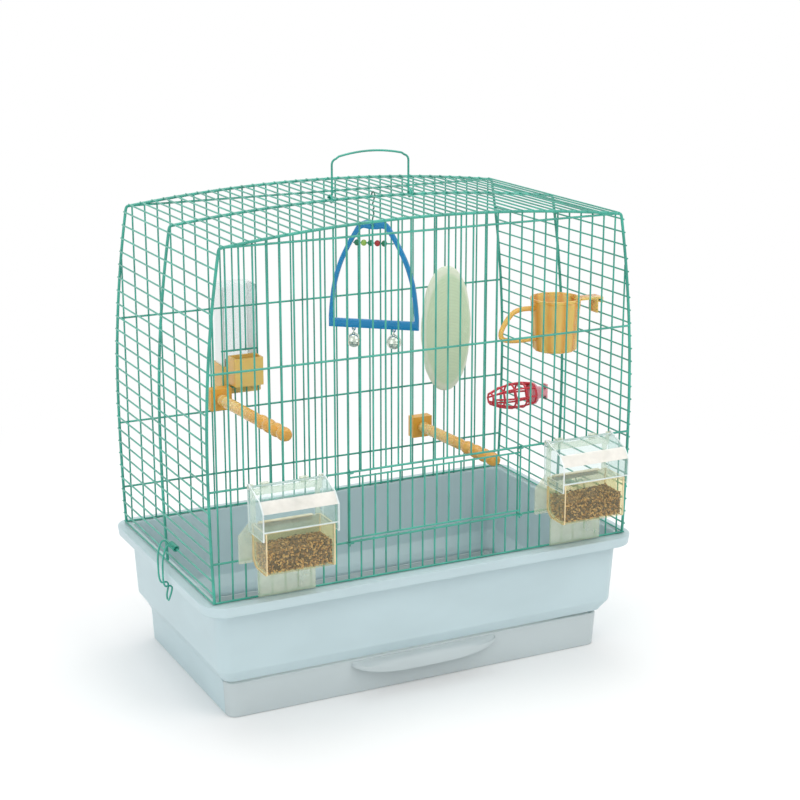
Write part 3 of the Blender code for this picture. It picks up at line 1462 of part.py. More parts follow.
def build_bell(name, along, bar, bell_finish):
    """A round bell whose eye is linked through an eyelet of the swing: hollow, with one slot."""
    link = (EYELET_INNER_R + EYELET_OUTER_R) / 2.0
    pivot_h = eyelet_h() - link
    centre_h = pivot_h - link - BELL_NECK - BELL_R
    pivot = swing_point(along, pivot_h)
    centre = swing_point(along, centre_h)
    down = Vector((0.0, 0.0, -1.0))
    bell = place(name, turned(centre, down, ball_profile(BELL_R)), bell_finish, tuple(pivot))
    cut(bell, turned(centre, down, ball_profile(BELL_R - BELL_WALL)))
    slot = box(
        (centre.x - BELL_SLOT / 2.0, centre.y - BELL_SLOT_HALF, centre.z - 2.0 * BELL_R),
        (centre.x + BELL_SLOT / 2.0, centre.y + BELL_SLOT_HALF, centre.z - BELL_R * 0.3),
    )
    cut(bell, slot)
    join(bell, pipe(pivot, bar, EYELET_INNER_R, EYELET_OUTER_R, EYELET_THICK))
    neck_top = pivot - Vector((0.0, 0.0, link))
    neck_foot = centre + Vector((0.0, 0.0, BELL_R - BELL_WALL / 2.0))
    join(bell, rod(neck_top, neck_foot, EYELET_THICK / 2.0, 8))


def ball_profile(radius, rings=6):
    """Distance and radius pairs of a ball that is slightly flat at both ends."""
    profile = []
    for index in range(rings + 1):
        angle = math.radians(8.0 + 164.0 * index / rings)
        profile.append((-radius * math.cos(angle), radius * math.sin(angle)))
    return profile


def build_cuttlebone(bone_finish, white_finish):
    """The cuttlebone and the white clip that holds it on the rear panel."""
    rows = 8
    sides = 20
    body = bmesh.new()
    rings = []
    for index in range(1, rows):
        angle = math.pi * index / rows
        half_x = BONE_HALF_X * math.sin(angle) ** 0.9
        height = BONE_MIDDLE_H + BONE_HALF_H * math.cos(angle)
        ring = []
        for side in range(sides):
            turn = 2.0 * math.pi * side / sides
            bulge = math.sin(turn)
            depth = BONE_THICK * (0.70 if bulge > 0 else 0.30) * math.sin(angle) ** 0.7
            x = BONE_X + half_x * math.cos(turn)
            y = BONE_BACK_Y - BONE_THICK * 0.32 - depth * bulge
            ring.append(body.verts.new((x, y, RIM_Z + height)))
        rings.append(ring)
    for first, second in zip(rings, rings[1:]):
        bridge(body, first, second)
    middle_y = BONE_BACK_Y - BONE_THICK * 0.32
    for ring, sign in ((rings[0], 1.0), (rings[-1], -1.0)):
        tip = body.verts.new((BONE_X, middle_y, RIM_Z + BONE_MIDDLE_H + sign * BONE_HALF_H))
        for side in range(sides):
            body.faces.new((ring[side], ring[(side + 1) % sides], tip))
    bone = place("cuttlebone", body, bone_finish)
    clip_x = CLIP_PITCH * UPRIGHT_PITCH
    depth = 0.0020
    near = HOOP_Y - PANEL_HALF_THICK - GAP
    clip = keyed_block("cuttlebone_clip", clip_x, CLIP_MIDDLE_H, 0.010, 0.016, depth, white_finish)
    # Two pegs push into the soft bone, each in a hole with clearance.
    for height in (CLIP_MIDDLE_H - 0.010, CLIP_MIDDLE_H + 0.010):
        start = Vector((clip_x, near - depth / 2.0, RIM_Z + height))
        end = start + Vector((0.0, -0.007, 0.0))
        join(clip, rod(start, end, 0.0014, 8))
        cut(bone, rod(start, end + Vector((0.0, -0.0006, 0.0)), 0.0018, 8))


def fluted(height, radius, sides_per_flute=4):
    """Ring of the treat cup's fluted wall."""
    sides = TREAT_CUP_FLUTES * sides_per_flute
    ring = []
    for side in range(sides):
        angle = 2.0 * math.pi * side / sides
        wave = TREAT_CUP_FLUTE_DEPTH * (math.cos(TREAT_CUP_FLUTES * angle) - 1.0) / 2.0
        r = radius + wave
        ring.append(
            (TREAT_CUP_X + r * math.cos(angle), TREAT_CUP_Y + r * math.sin(angle), RIM_Z + height)
        )
    return ring


def build_treat_cup(amber_finish):
    """The fluted treat cup: a loop on one side and a tab that hooks over a side wire on the other."""
    wall = TREAT_CUP_WALL
    foot_h = TREAT_CUP_TOP_H - TREAT_CUP_HEIGHT
    body = loft(
        [
            fluted(foot_h, TREAT_CUP_FOOT_R),
            fluted(TREAT_CUP_TOP_H, TREAT_CUP_TOP_R),
            fluted(TREAT_CUP_TOP_H, TREAT_CUP_TOP_R - wall),
            fluted(foot_h + wall, TREAT_CUP_FOOT_R - wall),
        ]
    )
    cup = place("treat_cup", body, amber_finish)
    start_x = TREAT_CUP_X - (TREAT_CUP_TOP_R + TREAT_CUP_FOOT_R) / 2.0
    low_h = TREAT_CUP_TOP_H - TREAT_LOOP_DROP - TREAT_LOOP_HEIGHT
    # Shares of the loop's reach and of its height, from its upper root around to its lower one.
    loop = ((0.0, 0.985), (0.383, 1.0), (0.654, 0.909), (0.864, 0.636), (1.0, 0.318))
    loop += ((0.963, 0.121), (0.753, 0.03), (0.383, 0.0), (-0.037, 0.015))
    path = []
    for reach, rise in loop:
        height = RIM_Z + low_h + TREAT_LOOP_HEIGHT * rise
        path.append((start_x - TREAT_LOOP_REACH * reach, TREAT_CUP_Y, height))
    join(cup, wire(path, TREAT_LOOP_R))
    thick = TREAT_TAB_THICK
    clear = UPRIGHT_WIRE / 2.0 + 2.0 * GAP
    row_h = side_row_below(TREAT_CUP_TOP_H - clear - thick)
    panel_x = hoop_x(row_h)
    over = RIM_Z + row_h + clear
    inner_x = panel_x - HOOP_HALF_THICK - 3.0 * GAP
    outer_x = panel_x + HOOP_HALF_THICK + 3.0 * GAP
    tab = [
        (TREAT_CUP_X + TREAT_CUP_TOP_R - 2.2 * wall, over),
        (inner_x - thick, over),
        (inner_x - thick, over - TREAT_TAB_INNER_LEG),
        (inner_x, over - TREAT_TAB_INNER_LEG),
        (inner_x, over),
        (outer_x, over),
        (outer_x, over - TREAT_TAB_OUTER_LEG),
        (outer_x + thick, over - TREAT_TAB_OUTER_LEG),
        (outer_x + thick, over + thick),
        (TREAT_CUP_X + TREAT_CUP_TOP_R - 2.2 * wall, over + thick),
    ]
    join(cup, prism_y(tab, TREAT_CUP_Y - TREAT_TAB_HALF_Y, TREAT_CUP_Y + TREAT_TAB_HALF_Y))
    inside = loft(
        [
            fluted(foot_h + wall, TREAT_CUP_FOOT_R - wall),
            fluted(TREAT_CUP_TOP_H, TREAT_CUP_TOP_R - wall),
        ]
    )
    cut(cup, inside)


def build_treat_holder(red_finish, pink_finish):
    """The lattice basket that points inwards from the side panel, and the plug that holds it."""
    height = side_row_near(HOLDER_H + SIDE_PITCH / 2.0) - SIDE_PITCH / 2.0
    panel_x = hoop_x(height)
    tip_x = panel_x - HOLDER_SETBACK - HOLDER_LENGTH
    # Shares of the basket's length and of its radius, from its tip to the plug.
    profile = ((0.0, 0.443), (0.231, 0.786), (0.481, 0.986), (0.75, 1.0), (1.0, 0.843))
    stations = [(tip_x + HOLDER_LENGTH * along, HOLDER_R * radius) for along, radius in profile]
    rows = [(x, HOLDER_BAR) for x, _ in stations]
    columns = [
        (2.0 * math.pi * index / HOLDER_RIBS, HOLDER_RIB_ANGLE) for index in range(HOLDER_RIBS)
    ]
    crossings = {(column, row) for column in range(HOLDER_RIBS) for row in range(len(rows))}

    def spot(u, w, side):
        nearest = min(stations, key=lambda station: abs(station[0] - w))
        radius = nearest[1] + side * HOLDER_HALF_THICK
        return w, HOLDER_Y + radius * math.cos(u), RIM_Z + height + radius * math.sin(u)

    basket = lattice(columns, rows, crossings, spot, wrap=True)
    place("treat_holder", basket, red_finish)
    inner_x = panel_x - HOOP_HALF_THICK - GAP
    start_x = stations[-1][0] + HOLDER_BAR / 2.0 + GAP
    centre = (start_x, HOLDER_Y, RIM_Z + height)
    profile = [
        (0.0, PLUG_FLANGE_R),
        (PLUG_FLANGE, PLUG_FLANGE_R),
        (2.0 * PLUG_FLANGE, PLUG_NECK_R),
        (inner_x - start_x, PLUG_END_R),
    ]
    plug = place("treat_holder_plug", turned(centre, (1, 0, 0), profile), pink_finish)
    far = panel_x + HOOP_HALF_THICK + GAP
    slim = HOLDER_KEY_HALF_SLIM
    tongue = box(
        (inner_x - KEY_THICK / 2.0, HOLDER_Y - slim, RIM_Z + height - slim),
        (far + KEY_THICK / 2.0, HOLDER_Y + slim, RIM_Z + height + slim),
    )
    join(plug, tongue)
    key = box(
        (far, HOLDER_Y - slim, RIM_Z + height - KEY_HALF_WIDE),
        (far + KEY_THICK, HOLDER_Y + slim, RIM_Z + height + KEY_HALF_WIDE),
    )
    join(plug, key)


def shade_round_faces():
    """Shade every solid smooth, with its steeper edges kept sharp."""
    for item in bpy.data.objects:
        item.data.shade_smooth()
        item.data.set_sharp_from_angle(angle=SHARP_ANGLE)


def main():
    """Build every piece."""
    clear_scene()
    wire_finish = finish("teal_wire", (0.06, 0.40, 0.31), 0.42)
    tub_finish = finish("tub_plastic", (0.50, 0.63, 0.67), 0.42)
    drawer_finish = finish("drawer_plastic", (0.48, 0.55, 0.55), 0.45)
    clear_finish = finish("clear_plastic", (0.85, 0.92, 0.90), 0.08, alpha=0.35)
    cup_finish = finish("cup_plastic", (0.85, 0.86, 0.70), 0.12, alpha=0.40)
    seed_finish = finish("seed_mix", (0.32, 0.22, 0.12), 0.85)
    amber_finish = finish("amber_plastic", (0.80, 0.50, 0.08), 0.35)
    orange_finish = finish("orange_plastic", (0.80, 0.38, 0.06), 0.40)
    blue_finish = finish("blue_plastic", (0.02, 0.20, 0.50), 0.35)
    green_finish = finish("bead_green", (0.02, 0.22, 0.12), 0.30)
    lime_finish = finish("bead_lime", (0.35, 0.55, 0.12), 0.30)
    red_bead_finish = finish("bead_red", (0.45, 0.04, 0.04), 0.30)
    bell_finish = finish("bell_metal", (0.70, 0.75, 0.68), 0.22, metallic=1.0)
    bone_finish = finish("cuttlebone_chalk", (0.80, 0.82, 0.60), 0.85)
    white_finish = finish("white_plastic", (0.85, 0.86, 0.84), 0.40)
    red_finish = finish("red_plastic", (0.62, 0.05, 0.08), 0.35)
    pink_finish = finish("pink_plastic", (0.75, 0.45, 0.48), 0.40)
    build_tub(tub_finish)
    build_drawer(drawer_finish)
    build_sides(wire_finish)
    build_roof(wire_finish)
    build_front(wire_finish)
    build_rear(wire_finish)
    build_handle(wire_finish)
    build_latches(wire_finish)
    build_feeders(clear_finish, cup_finish, seed_finish)
    build_drinker(clear_finish, amber_finish)
    build_perches(amber_finish, orange_finish)
    beads = (green_finish, lime_finish, green_finish, red_bead_finish, green_finish)
    build_swing(wire_finish, blue_finish, beads, bell_finish)
    build_cuttlebone(bone_finish, white_finish)
    build_treat_cup(amber_finish)
    build_treat_holder(red_finish, pink_finish)
    shade_round_faces()


main()
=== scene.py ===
"""Looks of the bird cage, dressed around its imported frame.

Metres, +Z up, in the frame of the part. A height called h is measured from the tub's rim.
"""

import logging
import random
from dataclasses import dataclass
from enum import Enum
from math import cos, degrees, exp, hypot, pi, radians, sin, sqrt
from typing import Dict, List, Optional, Sequence, Tuple, Union

import bmesh
import bpy
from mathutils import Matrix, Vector


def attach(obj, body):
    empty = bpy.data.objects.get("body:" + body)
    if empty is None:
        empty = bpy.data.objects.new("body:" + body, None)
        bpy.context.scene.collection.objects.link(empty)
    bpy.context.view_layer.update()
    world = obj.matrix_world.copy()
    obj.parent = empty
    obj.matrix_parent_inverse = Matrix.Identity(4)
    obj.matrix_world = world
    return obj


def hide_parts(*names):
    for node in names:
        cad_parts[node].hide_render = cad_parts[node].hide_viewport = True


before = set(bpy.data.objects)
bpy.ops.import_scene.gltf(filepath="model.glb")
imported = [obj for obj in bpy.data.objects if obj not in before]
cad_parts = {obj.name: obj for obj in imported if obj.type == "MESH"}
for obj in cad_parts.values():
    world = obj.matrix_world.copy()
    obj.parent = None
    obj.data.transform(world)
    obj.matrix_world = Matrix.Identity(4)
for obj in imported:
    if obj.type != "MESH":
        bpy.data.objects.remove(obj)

log = logging.getLogger("bird_cage")

Colour = Tuple[float, float, float, float]
Flat = Tuple[float, float]
Point = Tuple[float, float, float]
Spot = Sequence[float]
Path = Sequence[Spot]
Line = Sequence[Flat]
Ring = Sequence[bmesh.types.BMVert]
Piece = bpy.types.Object
Pieces = List[Piece]
Material = bpy.types.Material

TAU = 2.0 * pi
MM = 0.001
RIM_Z = 0.129
BONE_X, BONE_H = 0.1534, 0.177
BONE_HALF = (0.0315, 0.0725)
TREAT_X, TREAT_Y, FLUTES = 0.180, -0.070, 10


def paint(*levels: int) -> Colour:
    """Scene-linear colour of a screen colour.

    Args:
        *levels: its red, green and blue, 0 to 255.

    Returns:
        The colour with full alpha.
    """
    shares = [level / 255.0 for level in levels]
    made = [share / 12.92 if share <= 0.04045 else ((share + 0.055) / 1.055) ** 2.4 for share in shares]
    return (*made, 1.0)


def tint(colour: Colour, factor: float) -> Colour:
    """The colour made lighter or darker by a factor."""
    return (*(min(1.0, part * factor) for part in colour[:3]), 1.0)


@dataclass(frozen=True)
class Link:
    """One output socket of a shader. Maths on it adds Math nodes."""

    tree: "Tree"
    socket: Optional[bpy.types.NodeSocket]

    def maths(self, operation: str, *values: "Term") -> "Link":
        """Math node on the given values.

        Args:
            operation: the node's operation.
            values: numbers or links, in the node's order.

        Returns:
            The node's result.
        """
        return self.tree.node("Math", {"operation": operation}, dict(enumerate(values)))

    def __add__(self, other: "Term") -> "Link":
        """Sum."""
        return self.maths("ADD", self, other)

    __radd__ = __add__

    def __sub__(self, other: "Term") -> "Link":
        """Difference."""
        return self.maths("SUBTRACT", self, other)

    def __rsub__(self, other: "Term") -> "Link":
        """Difference from a number."""
        return self.maths("SUBTRACT", other, self)

    def __mul__(self, other: "Term") -> "Link":
        """Product."""
        return self.maths("MULTIPLY", self, other)

    __rmul__ = __mul__

    def __truediv__(self, other: "Term") -> "Link":
        """Quotient."""
        return self.maths("DIVIDE", self, other)

    def ramp(self, low: float, high: float) -> "Link":
        """0 below low, 1 above high and smooth between.

        Args:
            low: the value that gives 0.
            high: the value that gives 1.

        Returns:
            The ramp.
        """
        return self.tree.node(
            "MapRange",
            {"interpolation_type": "SMOOTHSTEP"},
            {"Value": self, "From Min": low, "From Max": high},
        )

    def wave(self, per_metre: float) -> "Link":
        """Sine of the link, with that many radians in a metre."""
        return self.maths("SINE", self * per_metre)


Term = Union[Link, float]


class Tree:
    """The node tree of a material or the world, with the few nodes that every finish uses."""

    def __init__(self, owner: Union[Material, bpy.types.World]) -> None:
        """Start the owner's tree empty.

        Args:
            owner: the material or world.
        """
        self.owner = owner
        self.owner.use_nodes = True
        self.graph = self.owner.node_tree
        self.graph.nodes.clear()

    @classmethod
    def of(cls, name: str) -> "Tree":
        """The tree of a new material, named apart from the frame's own."""
        return cls(bpy.data.materials.new(f"{name}_finish"))

    @property
    def place(self) -> Link:
        """Where the surface point is, in metres."""
        return self.node("TexCoord", output="Object")

    def node(
        self,
        kind: str,
        settings: Optional[Dict[str, object]] = None,
        sockets: Optional[Dict[Union[str, int], object]] = None,
        output: Union[str, int] = 0,
    ) -> Link:
        """Add a node.

        Args:
            kind: the node's type, without its ShaderNode prefix.
            settings: properties that are set first; stops are a ramp's (position, colour) pairs.
            sockets: value or link of each input socket, by name or number.
            output: the socket that is handed back.

        Returns:
            The chosen output.
        """
        made = self.graph.nodes.new("ShaderNode" + kind)
        for key, value in (settings or {}).items():
            if key == "stops":
                for _ in value[2:]:
                    made.color_ramp.elements.new(1.0)
                for element, (position, colour) in zip(made.color_ramp.elements, value):
                    element.position, element.color = position, colour
            else:
                setattr(made, key, value)
        for key, value in (sockets or {}).items():
            if isinstance(value, Link):
                self.graph.links.new(value.socket, made.inputs[key])
            else:
                made.inputs[key].default_value = value
        return Link(self, made.outputs[output]) if made.outputs else Link(self, None)

    def noise(self, scale: float, detail: float = 2.0, stretch: Point = (1.0, 1.0, 1.0)) -> Link:
        """Noise from 0 to 1 over the surface.

        Args:
            scale: cells in a metre.
            detail: octaves.
            stretch: factor on each axis, above 1 for finer.

        Returns:
            The noise's value.
        """
        spot = self.node("Mapping", sockets={"Vector": self.place, "Scale": stretch})
        return self.node("TexNoise", sockets={"Vector": spot, "Scale": scale, "Detail": detail})

    def axis(self, name: str) -> Link:
        """One coordinate of the surface point, X, Y or Z in metres."""
        return self.node("SeparateXYZ", sockets={"Vector": self.place}, output=name)

    def blend(self, factor: Term, first: object, second: object) -> Link:
        """Colour between two colours.

        Args:
            factor: 0 for the first, 1 for the second.
            first: colour or link.
            second: colour or link.

        Returns:
            The mixed colour.
        """
        return self.node("Mix", {"data_type": "RGBA"}, {0: factor, 6: first, 7: second}, output=2)

    def bump(self, height: Link, depth: float, strength: float = 1.0) -> Link:
        """Normal from a height between 0 and 1, depth in metres."""
        return self.node("Bump", sockets={"Height": height, "Distance": depth, "Strength": strength})

    def principled(self, **sockets: object) -> Link:
        """Principled shader; an underscore in a name stands for a space.

        Args:
            **sockets: value or link of each input socket.

        Returns:
            The shader.
        """
        return self.node(
            "BsdfPrincipled", sockets={key.replace("_", " "): value for key, value in sockets.items()}
        )

    def close(self, surface: Link) -> Material:
        """Send the shader to the output and hand the material back."""
        self.node("OutputMaterial", sockets={"Surface": surface})
        return self.owner

    def seen(self) -> Link:
        """1 for a ray from the camera, off gloss or through glass, and 0 for light.

        Returns:
            The switch.
        """
        camera, gloss, glass = (
            self.node("LightPath", output=f"Is {kind} Ray") for kind in ("Camera", "Glossy", "Transmission")
        )
        return camera.maths("MAXIMUM", camera.maths("MAXIMUM", camera, gloss), glass)


@dataclass(frozen=True)
class Enamel:
    """Teal enamel on welded wire: glossy, a little uneven, thinner and darker in spots."""

    name: str
    colour: Colour
    roughness: float = 0.34

    def build(self) -> Material:
        """Make the material.

        Returns:
            The material.
        """
        tree = Tree.of(self.name)
        drift = tree.noise(38.0, 3.0)
        runs = tree.noise(420.0, 2.0)
        colour = tree.blend(drift.ramp(0.32, 0.70), tint(self.colour, 0.84), tint(self.colour, 1.16))
        colour = tree.blend(runs.ramp(0.62, 0.80) * 0.35, colour, tint(self.colour, 0.66))
        surface = tree.principled(
            Base_Color=colour,
            Roughness=self.roughness - 0.06 + runs * 0.14,
            Normal=tree.bump(runs, 0.00012, 0.5),
            Coat_Weight=0.35,
            Coat_Roughness=0.16,
        )
        return tree.close(surface)


@dataclass(frozen=True)
class Moulded:
    """Injection-moulded plastic: fine grain, faint flow clouds and scuffs."""

    name: str
    colour: Colour
    roughness: float = 0.40
    cloud: float = 0.05
    grain: float = 0.00004
    glow: float = 0.0
    shade: float = 0.10

    def build(self) -> Material:
        """Make the material.

        Returns:
            The material.
        """
        tree = Tree.of(self.name)
        flow = tree.noise(9.0, 3.0, (1.0, 1.0, 2.2))
        fine = tree.noise(1500.0, 1.0)
        scuff = tree.noise(60.0, 4.0, (1.0, 1.0, 5.0))
        deep, pale = tint(self.colour, 1.0 - self.cloud), tint(self.colour, 1.0 + self.cloud)
        colour = tree.blend(flow.ramp(0.3, 0.7), deep, pale)
        colour = tree.blend(scuff.ramp(0.66, 0.86) * self.shade, colour, tint(self.colour, 0.72))
        surface = tree.principled(
            Base_Color=colour,
            Roughness=self.roughness - 0.05 + fine * 0.06 + scuff * 0.05,
            Normal=tree.bump(fine, self.grain, 0.6),
            Subsurface_Weight=self.glow,
            Subsurface_Radius=(1.0, 0.6, 0.25),
            Subsurface_Scale=0.004,
            IOR=1.5,
        )
        return tree.close(surface)


@dataclass(frozen=True)
class Translucent:
    """Coloured see-through plastic, lighter where it is seen flat on and deeper towards its outline, which is
    painted shade.
    """

    name: str
    # thin is the colour seen flat on; thick is the deep colour, also used for painted shade.
    thin: Colour
    thick: Colour
    passes: float = 0.16
    roughness: float = 0.20
    fade: Optional[Flat] = None
    # Upright axis and count of the bands of painted light and shade, one pair to each flute.
    flute_shade_bands: Optional[Tuple[float, float, int]] = None

    def build(self) -> Material:
        """Make the material, deeper from one y to the next, or with bands of painted light and shade round an
        upright axis.

        Returns:
            The material.
        """
        tree = Tree.of(self.name)
        flow = tree.noise(55.0, 2.0)
        fine = tree.noise(900.0, 1.0)
        facing = tree.node("LayerWeight", sockets={"Blend": 0.45}, output="Facing")
        # Deeper towards the outline is painted shade; the flow clouds are the plastic's own uneven tone.
        depth = facing * 0.6 + flow * 0.35
        if self.fade:
            depth = depth + tree.axis("Y").ramp(*self.fade) * 0.6
        # Bands of painted light and shade, one light and one dark to each flute.
        if self.flute_shade_bands:
            x, y, count = self.flute_shade_bands
            turn = depth.maths("ARCTAN2", tree.axis("Y") - y, tree.axis("X") - x)
            depth = depth + turn.wave(count) * 0.34
        colour = tree.blend(depth.ramp(0.10, 0.85), self.thin, self.thick)
        surface = tree.principled(
            Base_Color=colour,
            Roughness=self.roughness - 0.04 + fine * 0.08,
            Normal=tree.bump(fine, 0.00003, 0.5),
            Transmission_Weight=self.passes,
            Subsurface_Weight=0.25,
            Subsurface_Radius=(1.0, 0.55, 0.15),
            Subsurface_Scale=0.003,
            IOR=1.5,
        )
        return tree.close(surface)


@dataclass(frozen=True)
class Clear:
    """Clear moulded plastic: a tinted pane, milky where it is scuffed, with a painted sheen where it is seen
    along its face.
    """

    name: str
    passes: Colour
    milk: Colour
    # haze: milkiness of the pane; in the highlight finishes it sets the strength of the painted highlight.
    haze_and_highlight: float = 0.12
    # edge: strength of the painted sheen where the pane is seen along its face.
    edge: float = 0.55
    # sides: strength of a painted highlight on faces that point along x.
    sides: float = 0.0

    def build(self) -> Material:
        """Make the material.

        Returns:
            The material.
        """
        tree = Tree.of(self.name)
        fine = tree.noise(700.0, 2.0)
        smear = tree.noise(45.0, 3.0)
        facing = tree.node("LayerWeight", sockets={"Blend": 0.5}, output="Facing")
        pane = tree.node("BsdfTransparent", sockets={"Color": self.passes})
        skin = tree.principled(
            Base_Color=tree.blend(fine, self.milk, tint(self.milk, 0.95)),
            Roughness=0.10 + smear * 0.08,
            Normal=tree.bump(smear, 0.00004, 0.3),
            Coat_Weight=0.5,
            Coat_Roughness=0.04,
        )
        # Milkiness from the scuffs, plus a painted sheen that grows where the pane is seen along its face.
        milk_and_sheen = (smear + 0.5) * self.haze_and_highlight + facing * facing * facing * self.edge
        # Faces that point along x get a painted highlight.
        if self.sides:
            turned = tree.node("NewGeometry", output="Normal")
            across_x = tree.node("SeparateXYZ", sockets={"Vector": turned}, output="X")
            milk_and_sheen = milk_and_sheen + across_x.maths("ABSOLUTE", across_x).ramp(0.70, 0.95) * self.sides
        milk_and_sheen = milk_and_sheen.maths("MINIMUM", milk_and_sheen, 1.0)
        return tree.close(tree.node("MixShader", sockets={0: milk_and_sheen, 1: pane, 2: skin}))


@dataclass(frozen=True)
class SeedMix:
    """Loose seed: each grain has its own brown, with a pale seam and a dark end."""

    name: str

    def build(self) -> Material:
        """Make the material.

        Returns:
            The material.
        """
        tree = Tree.of(self.name)
        grain = tree.node("NewGeometry", output="Random Per Island")
        stops = [
            (0.0, paint(52, 42, 26)),
            (0.20, paint(96, 74, 44)),
            (0.40, paint(150, 110, 62)),
            (0.62, paint(184, 140, 84)),
            (0.82, paint(222, 186, 128)),
            (1.0, paint(70, 54, 34)),
        ]
        colour = tree.node("ValToRGB", {"stops": stops}, {"Fac": grain})
        speck = tree.noise(1600.0, 2.0)
        colour = tree.blend(speck.ramp(0.45, 0.75) * 0.4, colour, paint(66, 44, 26))
        surface = tree.principled(
            Base_Color=colour, Roughness=0.52 + speck * 0.2, Normal=tree.bump(speck, 0.0001, 0.6)
        )
        return tree.close(surface)


@dataclass(frozen=True)
class Plated:
    """Bright plated metal with faint brushing and a few dull spots."""

    name: str
    colour: Colour

    def build(self) -> Material:
        """Make the material.

        Returns:
            The material.
        """
        tree = Tree.of(self.name)
        lines = tree.noise(300.0, 2.0, (1.0, 1.0, 9.0))
        dull = tree.noise(160.0, 3.0)
        surface = tree.principled(
            Base_Color=tree.blend(dull.ramp(0.55, 0.8) * 0.5, self.colour, tint(self.colour, 0.62)),
            Metallic=1.0,
            Roughness=0.14 + lines * 0.08 + dull.ramp(0.5, 0.8) * 0.16,
            Normal=tree.bump(lines, 0.00003, 0.4),
        )
        return tree.close(surface)


@dataclass(frozen=True)
class Chalk:
    """Cuttlebone: a chalky face with fine growth lines and pores, and a smooth pale border."""

    name: str
    colour: Colour
    middle: Flat
    half: Flat

    def build(self) -> Material:
        """Make the material.

        Returns:
            The material.
        """
        tree = Tree.of(self.name)
        across = (tree.axis("X") - self.middle[0]) / self.half[0]
        up = (tree.axis("Z") - self.middle[1]) / self.half[1]
        arch = up + across * across * 0.35
        wobble = tree.noise(70.0, 3.0)
        lines = (arch + wobble * 0.05).wave(TAU * 20.0) * 0.5 + 0.5
        pores = tree.noise(2400.0, 2.0)
        reach = across * across + up * up
        border = reach.ramp(0.72, 0.86)
        colour = tree.blend(lines * 0.35 + wobble * 0.3, self.colour, tint(self.colour, 0.88))
        colour = tree.blend(border * 0.6, colour, paint(240, 240, 224))
        height = lines * 0.5 * (1.0 - border) + pores * 0.5
        surface = tree.principled(
            Base_Color=colour,
            Roughness=0.86 - border * 0.25,
            Normal=tree.bump(height, 0.00035, 0.7),
            Subsurface_Weight=0.1,
            Subsurface_Radius=(1.0, 0.9, 0.7),
            Subsurface_Scale=0.002,
        )
        return tree.close(surface)


@dataclass(frozen=True)
class Paper:
    """The plain pale floor: it takes the cage's shadow, and far out it is plain white to the eye."""

    name: str
    colour: Colour
    near: float = 0.48
    far: float = 1.0

    def build(self) -> Material:
        """Make the material.

        Returns:
            The material.
        """
        tree = Tree.of(self.name)
        fibre = tree.noise(30.0, 2.0)
        matt = tree.principled(
            Base_Color=tree.blend(fibre, self.colour, tint(self.colour, 0.99)), Roughness=0.9
        )
        reach = tree.node("VectorMath", {"operation": "LENGTH"}, {0: tree.place}, output="Value")
        white = tree.node("Emission", sockets={"Color": paint(255, 255, 255), "Strength": 1.0})
        far_out = reach.ramp(self.near, self.far) * tree.seen()
        return tree.close(tree.node("MixShader", sockets={0: far_out, 1: matt, 2: white}))


class Finish(Enum):
    """Every finish of the cage by the name of its material slot in the record."""

    WIRE = Enamel("teal_wire", paint(52, 160, 140))
    DARK_WIRE = Enamel("teal_wire_dark", paint(26, 112, 92))
    TUB = Moulded("tub_plastic", paint(188, 208, 213), cloud=0.03)
    DRAWER = Moulded("drawer_plastic", paint(188, 199, 201), cloud=0.03)
    PLATE = Clear("clear_plastic", paint(252, 253, 248), paint(234, 240, 222), haze_and_highlight=0.34)
    HOOD = Clear("clear_plastic_hood", paint(248, 253, 252), paint(228, 241, 241), haze_and_highlight=0.10)
    # The next finish, the bend finish and the cup's rim finish are painted highlights: nearly opaque pale
    # skins on the hood's narrow edges, on its bend and on the cup's rims.
    EDGE = Clear("clear_plastic_edge", paint(244, 250, 250), paint(240, 246, 246), haze_and_highlight=0.80)
    BEND = Clear("clear_plastic_bend", paint(244, 244, 240), paint(240, 236, 228), haze_and_highlight=0.74)
    # The bottle's faces that point along x carry painted highlight stripes.
    BOTTLE = Clear("clear_plastic_bottle", paint(250, 252, 252), paint(248, 250, 250), haze_and_highlight=0.05, sides=0.95)
    CUP = Clear("cup_plastic", paint(254, 252, 240), paint(242, 238, 216), haze_and_highlight=0.06, edge=0.45)
    CUP_EDGE = Clear("cup_plastic_edge", paint(252, 240, 206), paint(246, 222, 176), haze_and_highlight=0.80)
    SEED = SeedMix("seed_mix")
    AMBER = Translucent("amber_plastic", paint(246, 212, 122), paint(232, 170, 62))
    PERCH = Translucent("amber_plastic_perch", paint(246, 226, 160), paint(236, 176, 76), fade=(0.10, -0.07))
    # The flutes' light and dark bands are painted light and shade.
    FLUTES = Translucent(
        "amber_plastic_flutes", paint(250, 212, 116), paint(232, 160, 50), flute_shade_bands=(TREAT_X, TREAT_Y, FLUTES)
    )
    ORANGE = Moulded("orange_plastic", paint(228, 168, 66), 0.36, glow=0.12)
    BLUE = Moulded("blue_plastic", paint(14, 130, 186), 0.22, glow=0.05)
    GREEN_BEAD = Moulded("bead_green", paint(22, 116, 82), 0.24)
    LIME_BEAD = Moulded("bead_lime", paint(150, 186, 84), 0.24)
    RED_BEAD = Moulded("bead_red", paint(170, 36, 40), 0.24)
    BELL = Plated("bell_metal", paint(214, 220, 208))
    BONE = Chalk("cuttlebone_chalk", paint(210, 228, 196), (BONE_X, RIM_Z + BONE_H), BONE_HALF)
    WHITE = Moulded("white_plastic", paint(232, 234, 230))
    RED = Moulded("red_plastic", paint(206, 48, 66), 0.34, glow=0.08)
    PINK = Moulded("pink_plastic", paint(224, 150, 160), 0.36, glow=0.08)
    FLOOR = Paper("floor_paper", paint(250, 250, 250))

    def material(self) -> Material:
        """The finish's material, built the first time it is asked for."""
        return bpy.data.materials.get(f"{self.value.name}_finish") or self.value.build()

    def slot(self) -> str:
        """Name of the record's slot that the finish belongs to: its own name's first two words."""
        return "_".join(self.value.name.split("_")[:2])


